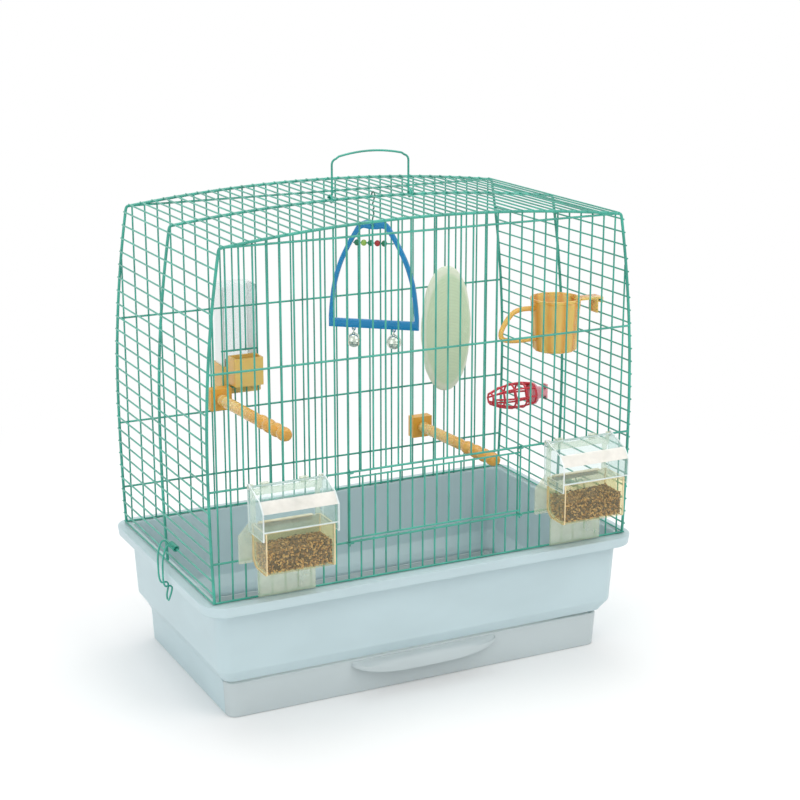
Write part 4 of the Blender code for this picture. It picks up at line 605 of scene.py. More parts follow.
class Solid:
    """A mesh under construction, in the cage's own frame."""

    def __init__(self) -> None:
        """Start with an empty mesh."""
        self.body = bmesh.new()
        self.finish_index = 0

    def face(self, corners: Ring) -> None:
        """Add a face with the finish in use."""
        self.body.faces.new(corners).material_index = self.finish_index

    def bridge(self, first: Ring, second: Ring) -> None:
        """Quads between two closed rings of equal count.

        Args:
            first: one ring.
            second: the other ring.
        """
        for index, after in enumerate([*range(1, len(first)), 0]):
            self.face((first[index], first[after], second[after], second[index]))

    def loft(self, rings: Sequence[Path], loop: bool = False, cap: Optional[int] = None) -> "Solid":
        """Skin closed rings of points.

        Args:
            rings: rings of equal count.
            loop: join the last ring to the first and leave out the end caps.
            cap: number of the end caps' finish, if it isn't the one in use.

        Returns:
            This solid.
        """
        drawn = [[self.body.verts.new(point) for point in ring] for ring in rings]
        for first, second in zip(drawn, drawn[1:]):
            self.bridge(first, second)
        if loop:
            self.bridge(drawn[-1], drawn[0])
            return self
        in_use = self.finish_index
        self.finish_index = in_use if cap is None else cap
        self.face(list(reversed(drawn[0])))
        self.face(drawn[-1])
        self.finish_index = in_use
        return self

    def sheet(self, outer: Line, inner: Line, ends: Flat, skins: Sequence[int], edge: int) -> None:
        """A bent sheet between two values of x.

        Args:
            outer: (y, z) points along its outer skin.
            inner: as many points along its inner skin.
            ends: its lowest and highest x.
            skins: number of the finish of each stretch.
            edge: number of the finish of its four narrow sides.
        """
        outer_low, inner_low, outer_high, inner_high = (
            [self.body.verts.new((x, y, z)) for y, z in line] for x in ends for line in (outer, inner)
        )
        for index, finish in enumerate(skins):
            after = index + 1
            self.finish_index = finish
            self.face((outer_low[index], outer_low[after], outer_high[after], outer_high[index]))
            self.face((inner_low[index], inner_high[index], inner_high[after], inner_low[after]))
            self.finish_index = edge
            self.face((outer_low[index], inner_low[index], inner_low[after], outer_low[after]))
            self.face((outer_high[index], outer_high[after], inner_high[after], inner_high[index]))
        for index in (0, -1):
            self.face((outer_low[index], outer_high[index], inner_high[index], inner_low[index]))

    def tube(self, path: Path, radius: float, sides: int = 10) -> "Solid":
        """A round wire with softened ends.

        Args:
            path: points along the wire.
            radius: radius of the wire.
            sides: sides of its section.

        Returns:
            This solid.
        """
        points = [Vector(point) for point in path]
        first_step = (points[1] - points[0]).normalized()
        last_step = (points[-1] - points[-2]).normalized()
        nose = radius * 0.35
        start, end = points[0] + first_step * nose, points[-1] - last_step * nose
        points = [points[0], start, *points[1:-1], end, points[-1]]
        radii = [radius * 0.62, *([radius] * (len(points) - 2)), radius * 0.62]
        around = zip([points[0], *points], [*points[1:], points[-1]])
        tangents = [(after - before).normalized() for before, after in around]
        rings = []
        first, second = across(tangents[0])
        last = tangents[0]
        for point, tangent, size in zip(points, tangents, radii):
            turn = last.rotation_difference(tangent)
            first, second, last = turn @ first, turn @ second, tangent
            rings.append(circle(point, first, second, size, sides))
        return self.loft(rings)

    def torus(
        self, centre: Vector, axis: Vector, radius: float, wire: float, sides: int, steps: int
    ) -> None:
        """A closed round ring.

        Args:
            centre: its middle.
            axis: direction through the ring.
            radius: radius of the wire's middle line.
            wire: radius of the wire.
            sides: sides of the wire's section.
            steps: steps around the ring.
        """
        first, second = across(axis.normalized())
        rings = []
        for angle in turns(steps):
            out = first * cos(angle) + second * sin(angle)
            rings.append(circle(centre + out * radius, out, axis.normalized(), wire, sides))
        self.loft(rings, loop=True)

    def turned(self, start: Spot, axis: Spot, profile: Line, sides: int, loop: bool = False) -> "Solid":
        """A solid of revolution.

        Args:
            start: point on the axis where the profile starts.
            axis: direction of the axis.
            profile: (distance along, radius) pairs.
            sides: sides of its rings.
            loop: the profile closes on itself.

        Returns:
            This solid.
        """
        direction = Vector(axis).normalized()
        first, second = across(direction)
        base = Vector(start)
        rings = [circle(base + direction * along, first, second, radius, sides) for along, radius in profile]
        return self.loft(rings, loop)

    def blob(self, centre: Vector, radii: Vector, turn: Optional[object] = None, sides: int = 6) -> None:
        """A small ellipsoid.

        Args:
            centre: its middle.
            radii: half sizes along its own axes.
            turn: rotation of its axes, if any.
            sides: sides of its rings.
        """
        rings = []
        for level in (-0.88, -0.35, 0.35, 0.88):
            size = sqrt(1.0 - level * level)
            ring = []
            for angle in turns(sides):
                aside, ahead = radii.x * size * cos(angle), radii.y * size * sin(angle)
                spot = Vector((aside, ahead, radii.z * level))
                ring.append(centre + (turn @ spot if turn else spot))
            rings.append(ring)
        self.loft(rings)

    def prism(self, outline: Line, axis: str, low: float, high: float, cap: Optional[int] = None) -> "Solid":
        """A solid with one outline between two values of an axis.

        Args:
            outline: points on the other two axes, in the order x, y, z.
            axis: x, y or z.
            low: lowest value of the axis.
            high: highest value of the axis.
            cap: number of its two faces' finish, if it isn't the one in use.

        Returns:
            This solid.
        """
        place = "xyz".index(axis)
        rings = [[(*spot[:place], level, *spot[place:]) for spot in outline] for level in (low, high)]
        return self.loft(rings, cap=cap)

    def mesh(self, name: str) -> bpy.types.Mesh:
        """Close the work and hand it over as a mesh.

        Args:
            name: the mesh's name.

        Returns:
            The mesh.
        """
        bmesh.ops.recalc_face_normals(self.body, faces=self.body.faces)
        made = bpy.data.meshes.new(name)
        self.body.to_mesh(made)
        self.body.free()
        return made

    def piece(
        self, name: str, body: str, finishes: Sequence[Finish], nodes: Sequence[str] = (),
        bevel: float = 0.0, smooth: float = 40.0,
    ) -> Piece:
        """Turn the mesh into a piece that rides on a body.

        Args:
            name: the piece's name.
            body: the body it rides on.
            finishes: its finishes, in the order of their numbers.
            nodes: nodes of the part that it stands for.
            bevel: width of the softened edges, 0 for none.
            smooth: steepest angle in degrees that is still shaded as smooth.

        Returns:
            The piece.
        """
        mesh = self.mesh(name)
        for finish in finishes:
            mesh.materials.append(finish.material())
        mesh.shade_smooth()
        mesh.set_sharp_from_angle(angle=radians(smooth))
        made = link(name, mesh)
        if bevel:
            soften(made, bevel)
        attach(made, body)
        if nodes:
            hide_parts(*nodes)
        finishes[0].slot()
        return made


def link(name: str, data: bpy.types.ID) -> Piece:
    """Put an object into the scene.

    Args:
        name: the object's name.
        data: its mesh, camera or lamp.

    Returns:
        The object.
    """
    made = bpy.data.objects.new(name, data)
    bpy.context.scene.collection.objects.link(made)
    return made


def soften(made: Piece, width: float) -> None:
    """Round the edges of an object with a modifier.

    Args:
        made: the object.
        width: width of the rounded edge.
    """
    edge = made.modifiers.new("edges", "BEVEL")
    edge.width = width
    edge.segments = 2
    edge.limit_method = "ANGLE"
    edge.angle_limit = radians(28.0)
    edge.use_clamp_overlap = True
    edge.harden_normals = True


def carry(node: str, finish: Finish, bevel: float = 0.0) -> Piece:
    """Keep a node of the part as it is, with a better finish and softer edges.

    Args:
        node: the node's name.
        finish: its finish.
        bevel: width of the softened edges, 0 for none.

    Returns:
        The node's object.
    """
    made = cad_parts[node]
    made.data.materials.clear()
    made.data.materials.append(finish.material())
    if bevel:
        flat = made.modifiers.new("flats", "DECIMATE")
        flat.decimate_type = "DISSOLVE"
        flat.angle_limit = radians(1.0)
        soften(made, bevel)
    return made


def across(direction: Vector) -> Tuple[Vector, Vector]:
    """Two unit directions at right angles to one direction.

    Args:
        direction: a unit direction.

    Returns:
        The two directions.
    """
    helper = Vector((0, 0, 1)) if abs(direction.z) < 0.9 else Vector((1, 0, 0))
    first = direction.cross(helper).normalized()
    return first, direction.cross(first).normalized()


def turns(count: int) -> List[float]:
    """Angles of that many equal steps round a circle."""
    return [TAU * step / count for step in range(count)]


def circle(centre: Vector, first: Vector, second: Vector, radius: float, sides: int) -> List[Vector]:
    """Points on a circle.

    Args:
        centre: its middle.
        first: one direction in its plane.
        second: the other direction.
        radius: its radius.
        sides: number of points.

    Returns:
        The points.
    """
    spots = [(radius * cos(angle), radius * sin(angle)) for angle in turns(sides)]
    return [centre + first * along + second * aside for along, aside in spots]


def arc(centre: Flat, radius: float, start: float, end: float, steps: int) -> List[Flat]:
    """Points of an arc.

    Args:
        centre: its middle.
        radius: its radius.
        start: first angle in degrees.
        end: last angle in degrees.
        steps: steps between them.

    Returns:
        The points.
    """
    angles = [radians(start + (end - start) * step / steps) for step in range(steps + 1)]
    return [(centre[0] + radius * cos(angle), centre[1] + radius * sin(angle)) for angle in angles]


def bend(start: Vector, corner: Vector, end: Vector, share: float) -> Vector:
    """Point of the curve that rounds a corner, at a share of its way."""
    return start * (1 - share) ** 2 + corner * (2 * share * (1 - share)) + end * share**2


def soft_corners(points: Path, reach: float, steps: int) -> List[Tuple[float, ...]]:
    """Round the corners of a closed line of points of any dimension.

    Args:
        points: the line's points.
        reach: how far from a corner its rounding starts.
        steps: steps of each rounding.

    Returns:
        The new points.
    """
    made: List[Tuple[float, ...]] = []
    spots = [Vector(point) for point in points]
    for before, here, after in zip([spots[-1], *spots], spots, [*spots[1:], spots[0]]):
        start = here + (before - here) * min(0.45, reach / max((before - here).length, 1e-9))
        end = here + (after - here) * min(0.45, reach / max((after - here).length, 1e-9))
        made += [tuple(bend(start, here, end, step / steps)) for step in range(steps + 1)]
    return made


def rounded_rect(
    half_x: float, half_y: float, corner: float, z: float, centre: Flat = (0.0, 0.0), steps: int = 10
) -> List[Point]:
    """Ring of a rectangle with round corners.

    Args:
        half_x: half its length along x.
        half_y: half its length along y.
        corner: corner radius.
        z: height of the ring.
        centre: its middle.
        steps: steps of each corner.

    Returns:
        The ring's points.
    """
    ring = []
    for sign_x, sign_y, start in ((1, 1, 0.0), (-1, 1, 90.0), (-1, -1, 180.0), (1, -1, 270.0)):
        middle = (centre[0] + sign_x * (half_x - corner), centre[1] + sign_y * (half_y - corner))
        ring += [(x, y, z) for x, y in arc(middle, corner, start, start + 90.0, steps)]
    return ring


def smooth_line(points: Path, steps: int = 5) -> List[Vector]:
    """A smooth curve through points.

    Args:
        points: the points, two- or three-dimensional.
        steps: steps between neighbours.

    Returns:
        The curve's points.
    """
    knots = [Vector(point) for point in points]
    made = []
    for a, b, c, d in zip([knots[0], *knots], knots, knots[1:], [*knots[2:], knots[-1]]):
        square, cube = 2 * a - 5 * b + 4 * c - d, 3 * b - a - 3 * c + d
        for step in range(steps):
            t = step / steps
            made.append(0.5 * ((2 * b) + (c - a) * t + square * t**2 + cube * t**3))
    made.append(knots[-1])
    return made


def cut_box(made: Piece, low: Spot, high: Spot) -> None:
    """Take a box away from a piece.

    Args:
        made: the piece.
        low: the box's lowest corner.
        high: its highest corner.
    """
    ring = [(low[0], low[1]), (high[0], low[1]), (high[0], high[1]), (low[0], high[1])]
    tool = link("tool", Solid().prism(ring, "z", low[2], high[2]).mesh("tool"))
    change = made.modifiers.new("cut", "BOOLEAN")
    change.operation = "DIFFERENCE"
    change.solver = "EXACT"
    change.object = tool
    bpy.context.view_layer.update()
    graph = bpy.context.evaluated_depsgraph_get()
    result = bpy.data.meshes.new_from_object(made.evaluated_get(graph))
    made.modifiers.remove(change)
    made.data = result
    result.shade_smooth()
    result.set_sharp_from_angle(angle=radians(34.0))
    bpy.data.meshes.remove(tool.data)


@dataclass(frozen=True)
class Arch:
    """Front view of the wire body: bulging legs, tight shoulders and a shallow dome."""

    foot_x: float = 0.231
    bulge_x: float = 0.2343
    bulge_h: float = 0.140
    shoulder_x: float = 0.217
    shoulder_h: float = 0.3434
    rise: float = 0.014
    cut_x: float = 0.2138
    cut_h: float = 0.3388
    depth: float = 0.1333
    pitch: float = 0.01356
    uprights: int = 34
    side_top_h: float = 0.3367

    def leg_x(self, h: float) -> float:
        """Half width of the leg at a height.

        Args:
            h: the height.

        Returns:
            The half width.
        """
        if h < self.bulge_h:
            return self.bulge_x - (self.bulge_x - self.foot_x) * ((h - self.bulge_h) / self.bulge_h) ** 2
        span = self.shoulder_h - self.bulge_h
        return self.bulge_x - (self.bulge_x - self.shoulder_x) * ((h - self.bulge_h) / span) ** 2

    def roof_h(self, x: float) -> float:
        """Height of the dome at x."""
        return self.shoulder_h + self.rise * (1.0 - (x / self.shoulder_x) ** 2)

    def outline(self, inset: float, foot: float) -> List[Flat]:
        """The whole bent wire.

        Args:
            inset: how far inside the drawn line it lies.
            foot: height of its two ends.

        Returns:
            (x, h) points from the left foot over the dome to the right foot.
        """
        places = [self.cut_x * step / 40 for step in range(41)]
        half: List[Flat] = [(x, self.roof_h(x)) for x in places]
        start, corner = Vector(half[-1]), Vector((self.shoulder_x, self.shoulder_h))
        end = Vector((self.leg_x(self.cut_h), self.cut_h))
        half += [tuple(bend(start, corner, end, step / 8)) for step in range(1, 9)]
        levels = [self.cut_h + (foot - self.cut_h) * step / 30 for step in range(1, 31)]
        half += [(self.leg_x(h), h) for h in levels]
        whole = [(-x, h) for x, h in reversed(half[1:])] + half
        made = []
        for before, (x, h), after in zip([whole[0], *whole], whole, [*whole[1:], whole[-1]]):
            along = (Vector(after) - Vector(before)).normalized()
            made.append((x + along.y * inset, h - along.x * inset))
        return made

    def upright_x(self, index: int) -> float:
        """Place of an upright wire counted from the left."""
        return (index - (self.uprights - 1) / 2.0) * self.pitch

    def side_h(self, row: float) -> float:
        """Height of a side wire counted from the top."""
        return self.side_top_h - self.pitch * row

    def upright_top(self, index: int, inset: float) -> float:
        """Height at which an upright meets the bent wire.

        Args:
            index: number of the upright from the left.
            inset: how far inside the drawn line the bent wire lies.

        Returns:
            The height.
        """
        x = self.upright_x(index)
        if abs(x) < self.cut_x:
            return self.roof_h(x) - inset
        low, high = self.bulge_h, self.shoulder_h
        for _ in range(30):
            middle = (low + high) / 2.0
            low, high = (middle, high) if self.leg_x(middle) - inset > abs(x) else (low, middle)
        return low


@dataclass
class WireBody:
    """The welded wire body: hoops, long side and roof wires, and the front and rear panels."""

    arch: Arch
    hoop_r: float = 0.0015
    hoop_inset: float = 0.0012
    row_r: float = 0.0011
    thin_r: float = 0.0009
    weld: float = 0.0003
    overhang: float = 0.0019
    foot_h: float = 0.0014
    lower_h: float = 0.0407
    middle_h: float = 0.1123
    upper_h: float = 0.2255
    top_h: float = 0.3428
    gate_low_h: float = 0.1362
    gate_top_h: float = 0.1772
    side_rows: int = 25
    roof_pitch: float = 0.0125
    posts: Tuple[int, ...] = (0, 1, 9, 10, 24, 25, 33)
    gate: Tuple[int, ...] = (8, 9, 10, 11)
    hoop_foot: float = 0.0009
    upright_foot: float = 0.0004
    guide_r: float = 0.0008
    guide_play: float = 0.0006
    guide_nose: float = 0.0004
    guide_reach: float = 0.0058
    end_play: float = 0.0003
    sway: float = 0.00003
    bow: float = 0.00015
    drop: Point = (0.0012, 0.0021, 0.0012)
    panel_drop: Point = (0.0013, 0.0007, 0.0014)

    @property
    def rows(self) -> Tuple[float, ...]:
        """Heights of the level wires, front and rear."""
        return (self.foot_h, self.lower_h, self.middle_h, self.upper_h, self.top_h)

    @property
    def past(self) -> float:
        """How far an upright that ends on a row runs past its middle."""
        return self.row_r * 0.8

    def build(self) -> Pieces:
        """Build every wire that belongs to the cage's own body.

        Returns:
            The pieces.
        """
        self.chance = random.Random(5)
        made = self.hoops()
        made += [self.side(-1.0, "left"), self.side(1.0, "right"), self.roof()]
        made += [self.front(), self.rear()]
        return made

    def hoops(self) -> Pieces:
        """The three bent wires that run from foot to foot over the dome.

        Returns:
            The pieces.
        """
        made = []
        outline = self.arch.outline(self.hoop_inset, self.hoop_foot)
        for name, y in (("front", -self.arch.depth), ("middle", 0.0), ("rear", self.arch.depth)):
            solid = Solid()
            solid.tube([(x, y, RIM_Z + h) for x, h in outline], self.hoop_r, 14)
            made.append(solid.piece(f"hoop_{name}", "cage", [Finish.WIRE]))
        return made

    def long_wire(self, solid: Solid, x: float, h: float, out: Flat) -> None:
        """One wire from front to rear over the three hoops, with a drop of enamel at each weld.

        Args:
            solid: the mesh it is added to.
            x: its place.
            h: its height.
            out: outward direction (x, h) of the hoops there.
        """
        reach = self.arch.depth + self.overhang + self.chance.uniform(-self.end_play, self.end_play)
        sway = self.chance.uniform(-self.sway, self.sway)
        path = [(-1.0, 0.0), (-0.5, sway), (0.5, -sway), (1.0, 0.0)]
        solid.tube([(x, reach * share, RIM_Z + h + lift) for share, lift in path], self.thin_r, 8)
        for y in (-self.arch.depth, 0.0, self.arch.depth):
            spot = Vector((x - out[0] * 0.0004, y, RIM_Z + h - out[1] * 0.0004))
            solid.blob(spot, Vector(self.drop), sides=8)

    def side(self, sign: float, name: str) -> Piece:
        """The long wires of one side.

        Args:
            sign: -1 for the left side, 1 for the right.
            name: left or right.

        Returns:
            The piece.
        """
        solid = Solid()
        heights = [*map(self.arch.side_h, range(self.side_rows)), self.foot_h + self.weld]
        for h in heights:
            step = self.arch.leg_x(h + 0.001) - self.arch.leg_x(h - 0.001)
            length = hypot(step, 0.002)
            self.long_wire(solid, sign * self.arch.leg_x(h), h, (sign * 0.002 / length, -step / length))
        return solid.piece(f"{name}_wires", "cage", [Finish.WIRE], [f"{name}_side_grille"])

    def roof(self) -> Piece:
        """The long wires of the roof.

        Returns:
            The piece.
        """
        solid = Solid()
        for index in range(-17, 18):
            x = self.roof_pitch * index
            self.long_wire(solid, x, self.arch.roof_h(x), (0.0, 1.0))
        return solid.piece("roof_wires", "cage", [Finish.WIRE], ["roof_grille"])

    def upright(
        self, solid: Solid, side: float, index: int, low: float, high: float, extra: Sequence[float] = ()
    ) -> None:
        """One upright inside a panel's rows, with enamel at its welds.

        Args:
            solid: the mesh it is added to.
            side: -1 for the front, 1 for the rear.
            index: its number from the left.
            low: height of its foot.
            high: height of its top.
            extra: heights of rows that it may cross besides the panel's own.
        """
        x = self.arch.upright_x(index)
        y = side * (self.arch.depth - self.row_r - self.thin_r + self.weld)
        bow = self.chance.uniform(-self.bow, self.bow)
        middle = (low + high) / 2.0
        path = [(x, y, RIM_Z + low), (x + bow, y, RIM_Z + middle), (x, y, RIM_Z + high)]
        solid.tube(path, self.thin_r, 10)
        y = side * (self.arch.depth - self.row_r + self.weld)
        for h in (*self.rows, *extra):
            if low - 0.002 < h < high + 0.002:
                solid.blob(Vector((x, y, RIM_Z + h)), Vector(self.panel_drop), sides=8)

    def row(self, solid: Solid, side: float, h: float, ends: Optional[Flat] = None) -> None:
        """One level wire of a panel, from hoop to hoop unless its ends are given.

        Args:
            solid: the mesh it is added to.
            side: -1 for the front, 1 for the rear.
            h: its height.
            ends: x of its two ends.
        """
        reach = self.arch.leg_x(h) - self.hoop_inset
        if h > self.arch.cut_h:
            reach = self.arch.cut_x
        low, high = ends or (-reach, reach)
        y = side * self.arch.depth
        solid.tube([(low, y, RIM_Z + h), (high, y, RIM_Z + h)], self.row_r, 12)

    def front(self) -> Piece:
        """The front panel around the door and the two feeder openings, with the door's guides.

        Returns:
            The piece.
        """
        solid = Solid()
        for h in self.rows:
            self.row(solid, -1.0, h)
        for index in range(self.arch.uprights):
            top = self.arch.upright_top(index, self.hoop_inset)
            if index in self.posts:
                self.upright(solid, -1.0, index, self.upright_foot, top)
            else:
                self.upright(solid, -1.0, index, self.upright_foot, self.lower_h + self.past)
                self.upright(solid, -1.0, index, self.middle_h - self.past, top)
        for h in (self.lower_h, self.middle_h):
            self.guides(solid, h)
        posts = (f"front_post_{number}" for number in range(1, 8))
        nodes = ["front_grille_upper", "front_grille_lower", *posts]
        return solid.piece("front_wires", "cage", [Finish.WIRE], nodes)

    def guides(self, solid: Solid, h: float) -> None:
        """Two bent wires on a front row that hold the door's stiles.

        Args:
            solid: the mesh they are added to.
            h: height of the row.
        """
        door = Door(self.arch)
        for sign, edge in zip((-1.0, 1.0), door.stiles()):
            near = edge + sign * (door.wire_r + self.guide_play + self.guide_r)
            nose = door.middle_y() - door.wire_r - self.guide_nose - self.guide_r
            tip = near - sign * self.guide_reach
            path = [
                (near, -self.arch.depth, RIM_Z + h),
                (near, nose + 0.0012, RIM_Z + h),
                (near - sign * 0.0005, nose + 0.0003, RIM_Z + h),
                (near - sign * 0.0014, nose, RIM_Z + h),
                (tip, nose, RIM_Z + h),
            ]
            solid.tube(path, self.guide_r, 10)

    def rear(self) -> Piece:
        """The rear panel with its small opening for the drinker.

        Returns:
            The piece.
        """
        solid = Solid()
        for h in self.rows:
            self.row(solid, 1.0, h)
        first, *between, last = self.gate
        ends = (self.arch.upright_x(first) - 0.001, self.arch.upright_x(last) + 0.001)
        gate_rows = (self.gate_low_h, self.gate_top_h)
        for h in gate_rows:
            self.row(solid, 1.0, h, ends)
        for index in range(self.arch.uprights):
            extra = gate_rows if index in self.gate else ()
            top = self.arch.upright_top(index, self.hoop_inset)
            if index in between:
                self.upright(solid, 1.0, index, self.upright_foot, self.gate_low_h + self.past, extra)
                self.upright(solid, 1.0, index, self.gate_top_h - self.past, top, extra)
            else:
                self.upright(solid, 1.0, index, self.upright_foot, top, extra)
        return solid.piece("rear_wires", "cage", [Finish.WIRE], ["rear_grille"])


@dataclass
class Door:
    """The wire door that slides up between its guides."""

    arch: Arch
    wire_r: float = 0.0009
    foot_h: float = 0.0456
    top_h: float = 0.1074
    stile: float = 0.0085
    first: int = 10
    last: int = 24
    aside: float = 0.0007
    ahead: float = 0.0023

    def stiles(self) -> Flat:
        """Places of the left and the right stile."""
        return (self.arch.upright_x(self.first) - self.aside, self.arch.upright_x(self.last) + self.aside)

    def middle_y(self) -> float:
        """Plane of the door's wires."""
        return -self.arch.depth - self.ahead

    def build(self) -> Pieces:
        """Build the door.

        Returns:
            The piece.
        """
        solid = Solid()
        y = self.middle_y()
        low, high = RIM_Z + self.foot_h, RIM_Z + self.top_h
        for x in self.stiles():
            solid.tube([(x, y, low - self.stile), (x, y, high + self.stile)], self.wire_r, 10)
        for index in range(self.first + 1, self.last):
            x = self.arch.upright_x(index)
            solid.tube([(x, y, low - self.wire_r), (x, y, high + self.wire_r)], self.wire_r, 10)
            for z in (low, high):
                solid.blob(Vector((x, y, z)), Vector((0.0012, 0.00085, 0.0012)), sides=8)
        for z in (low, high):
            solid.tube([(x, y, z) for x in self.stiles()], self.wire_r, 10)
        return [solid.piece("door_wires", "door", [Finish.WIRE], ["front_door"])]


@dataclass
class Handle:
    """The carrying handle: a bent wire whose ends are wound round the middle hoop."""

    arch: Arch
    half_x: float = 0.043
    wire_r: float = 0.0011
    leg_h: float = 0.397
    top_h: float = 0.403
    bend: float = 0.006
    eye_r: float = 0.0037
    eye_turns: float = 1.25
    eye_lead: float = 0.0021
    neck: float = 0.004

    def build(self) -> Pieces:
        """Build the handle.

        Returns:
            The piece.
        """
        solid = Solid()
        pivot = RIM_Z + self.arch.roof_h(self.half_x)
        leg, top = RIM_Z + self.leg_h, RIM_Z + self.top_h
        left = []
        steps = 26
        for step in range(steps + 1):
            turn = self.eye_turns - self.eye_turns * step / steps
            angle = radians(90.0) + TAU * turn
            x = -self.half_x - self.eye_lead * turn
            left.append((x, -self.eye_r * cos(angle), pivot + self.eye_r * sin(angle)))
        left.append((-self.half_x, 0.0, pivot + self.eye_r + self.neck))
        left.append((-self.half_x, 0.0, leg - self.bend))
        for step in range(1, 7):
            angle = radians(90.0 * step / 7)
            x = -self.half_x + self.bend * (1 - cos(angle))
            left.append((x, 0.0, leg - self.bend * (1 - sin(angle))))
        shares = [step / 11.0 for step in range(-9, 10)]
        middle = [(share * self.half_x, 0.0, leg + (top - leg) * (1.0 - share**2)) for share in shares]
        right = [(-x, -y, z) for x, y, z in reversed(left)]
        solid.tube(left + middle + right, self.wire_r, 12)
        return [solid.piece("handle_wire", "handle", [Finish.WIRE], ["carry_handle"])]


@dataclass
class Latch:
    """A spring wire clip that turns on a side wire and hooks under the tub's lip."""

    arch: Arch
    name: str
    sign: float
    row: int = 23
    middle_y: float = -0.026
    half_coil: float = 0.009
    wire_r: float = 0.00095
    coil_r: float = 0.0027
    turns: int = 8
    turn_steps: int = 14

    def build(self) -> Pieces:
        """Build the clip.

        Returns:
            The piece.
        """
        h = self.arch.side_h(self.row)
        pivot_x = self.arch.leg_x(h)
        reach = self.half_coil - self.wire_r
        # Over the shoulder, down outside the tub's lip, in below it and out to the finger's loop.
        side = [
            (pivot_x + self.coil_r, reach, h),
            (0.2385, reach, h + 0.0045),
            (0.2428, 0.0078, h + 0.0026),
            (0.2462, 0.0074, 0.0150),
            (0.2465, 0.0068, 0.0),
            (0.2460, 0.0064, -0.0085),
            (0.2440, 0.0062, -0.0135),
            (0.2392, 0.0060, -0.0138),
            (0.2372, 0.0058, -0.0155),
            (0.2375, 0.0054, -0.0200),
            (0.2392, 0.0046, -0.0265),
            (0.2398, 0.0022, -0.0305),
        ]
        solid = Solid()
        leg = smooth_line(side, 3)
        whole = leg + [Vector((p.x, -p.y, p.z)) for p in reversed(leg)]
        solid.tube([(self.sign * p.x, self.middle_y + p.y, RIM_Z + p.z) for p in whole], self.wire_r, 10)
        coil = []
        steps = self.turns * self.turn_steps
        for step in range(steps + 1):
            angle = TAU * self.turns * step / steps
            y = -reach + 2.0 * reach * step / steps
            x = pivot_x + self.coil_r * cos(angle)
            coil.append((self.sign * x, self.middle_y + y, RIM_Z + h + self.coil_r * sin(angle)))
        solid.tube(coil, self.wire_r * 0.98, 8)
        return [solid.piece(f"clip_{self.name}", f"clip_{self.name}", [Finish.WIRE], [f"latch_{self.name}"])]


@dataclass
class Tub:
    """The tub: a flanged lip, tapered walls, a chamfer and a skirt that is open for the drawer."""

    shorter: float = 0.0944
    split_y: float = -0.105
    split_z: float = 0.0412
    edge: float = 0.0016
    cut_low: Point = (-0.25, -0.16, -0.01)

    def build(self) -> Pieces:
        """Build the tub.

        Returns:
            The piece.
        """
        # (half width, corner radius, height) up the outside, over the lip and down the inside.
        profile = [
            (0.2114, 0.0100, 0.0),
            (0.2130, 0.0100, 0.0350),
            (0.2160, 0.0100, 0.0415),
            (0.2240, 0.0130, 0.0535),
            (0.2276, 0.0130, 0.1266),
            (0.2394, 0.0230, 0.1266),
            (0.2389, 0.0230, 0.1185),
            (0.2409, 0.0250, 0.1185),
            (0.2420, 0.0250, 0.1290),
            (0.2252, 0.0106, 0.1290),
            (0.2216, 0.0106, 0.0535),
            (0.2136, 0.0076, 0.0421),
            (0.2106, 0.0076, 0.0350),
            (0.2090, 0.0076, 0.0022),
            (0.1930, 0.0050, 0.0022),
            (0.1930, 0.0050, 0.0),
        ]
        softened = soft_corners(profile, self.edge, 3)
        rings = [rounded_rect(x, x - self.shorter, corner, z, steps=12) for x, corner, z in softened]
        made = Solid().loft(rings, loop=True).piece("tub", "cage", [Finish.TUB], ["base_tub"])
        cut_box(made, self.cut_low, (-self.cut_low[0], self.split_y, self.split_z))
        return [made]


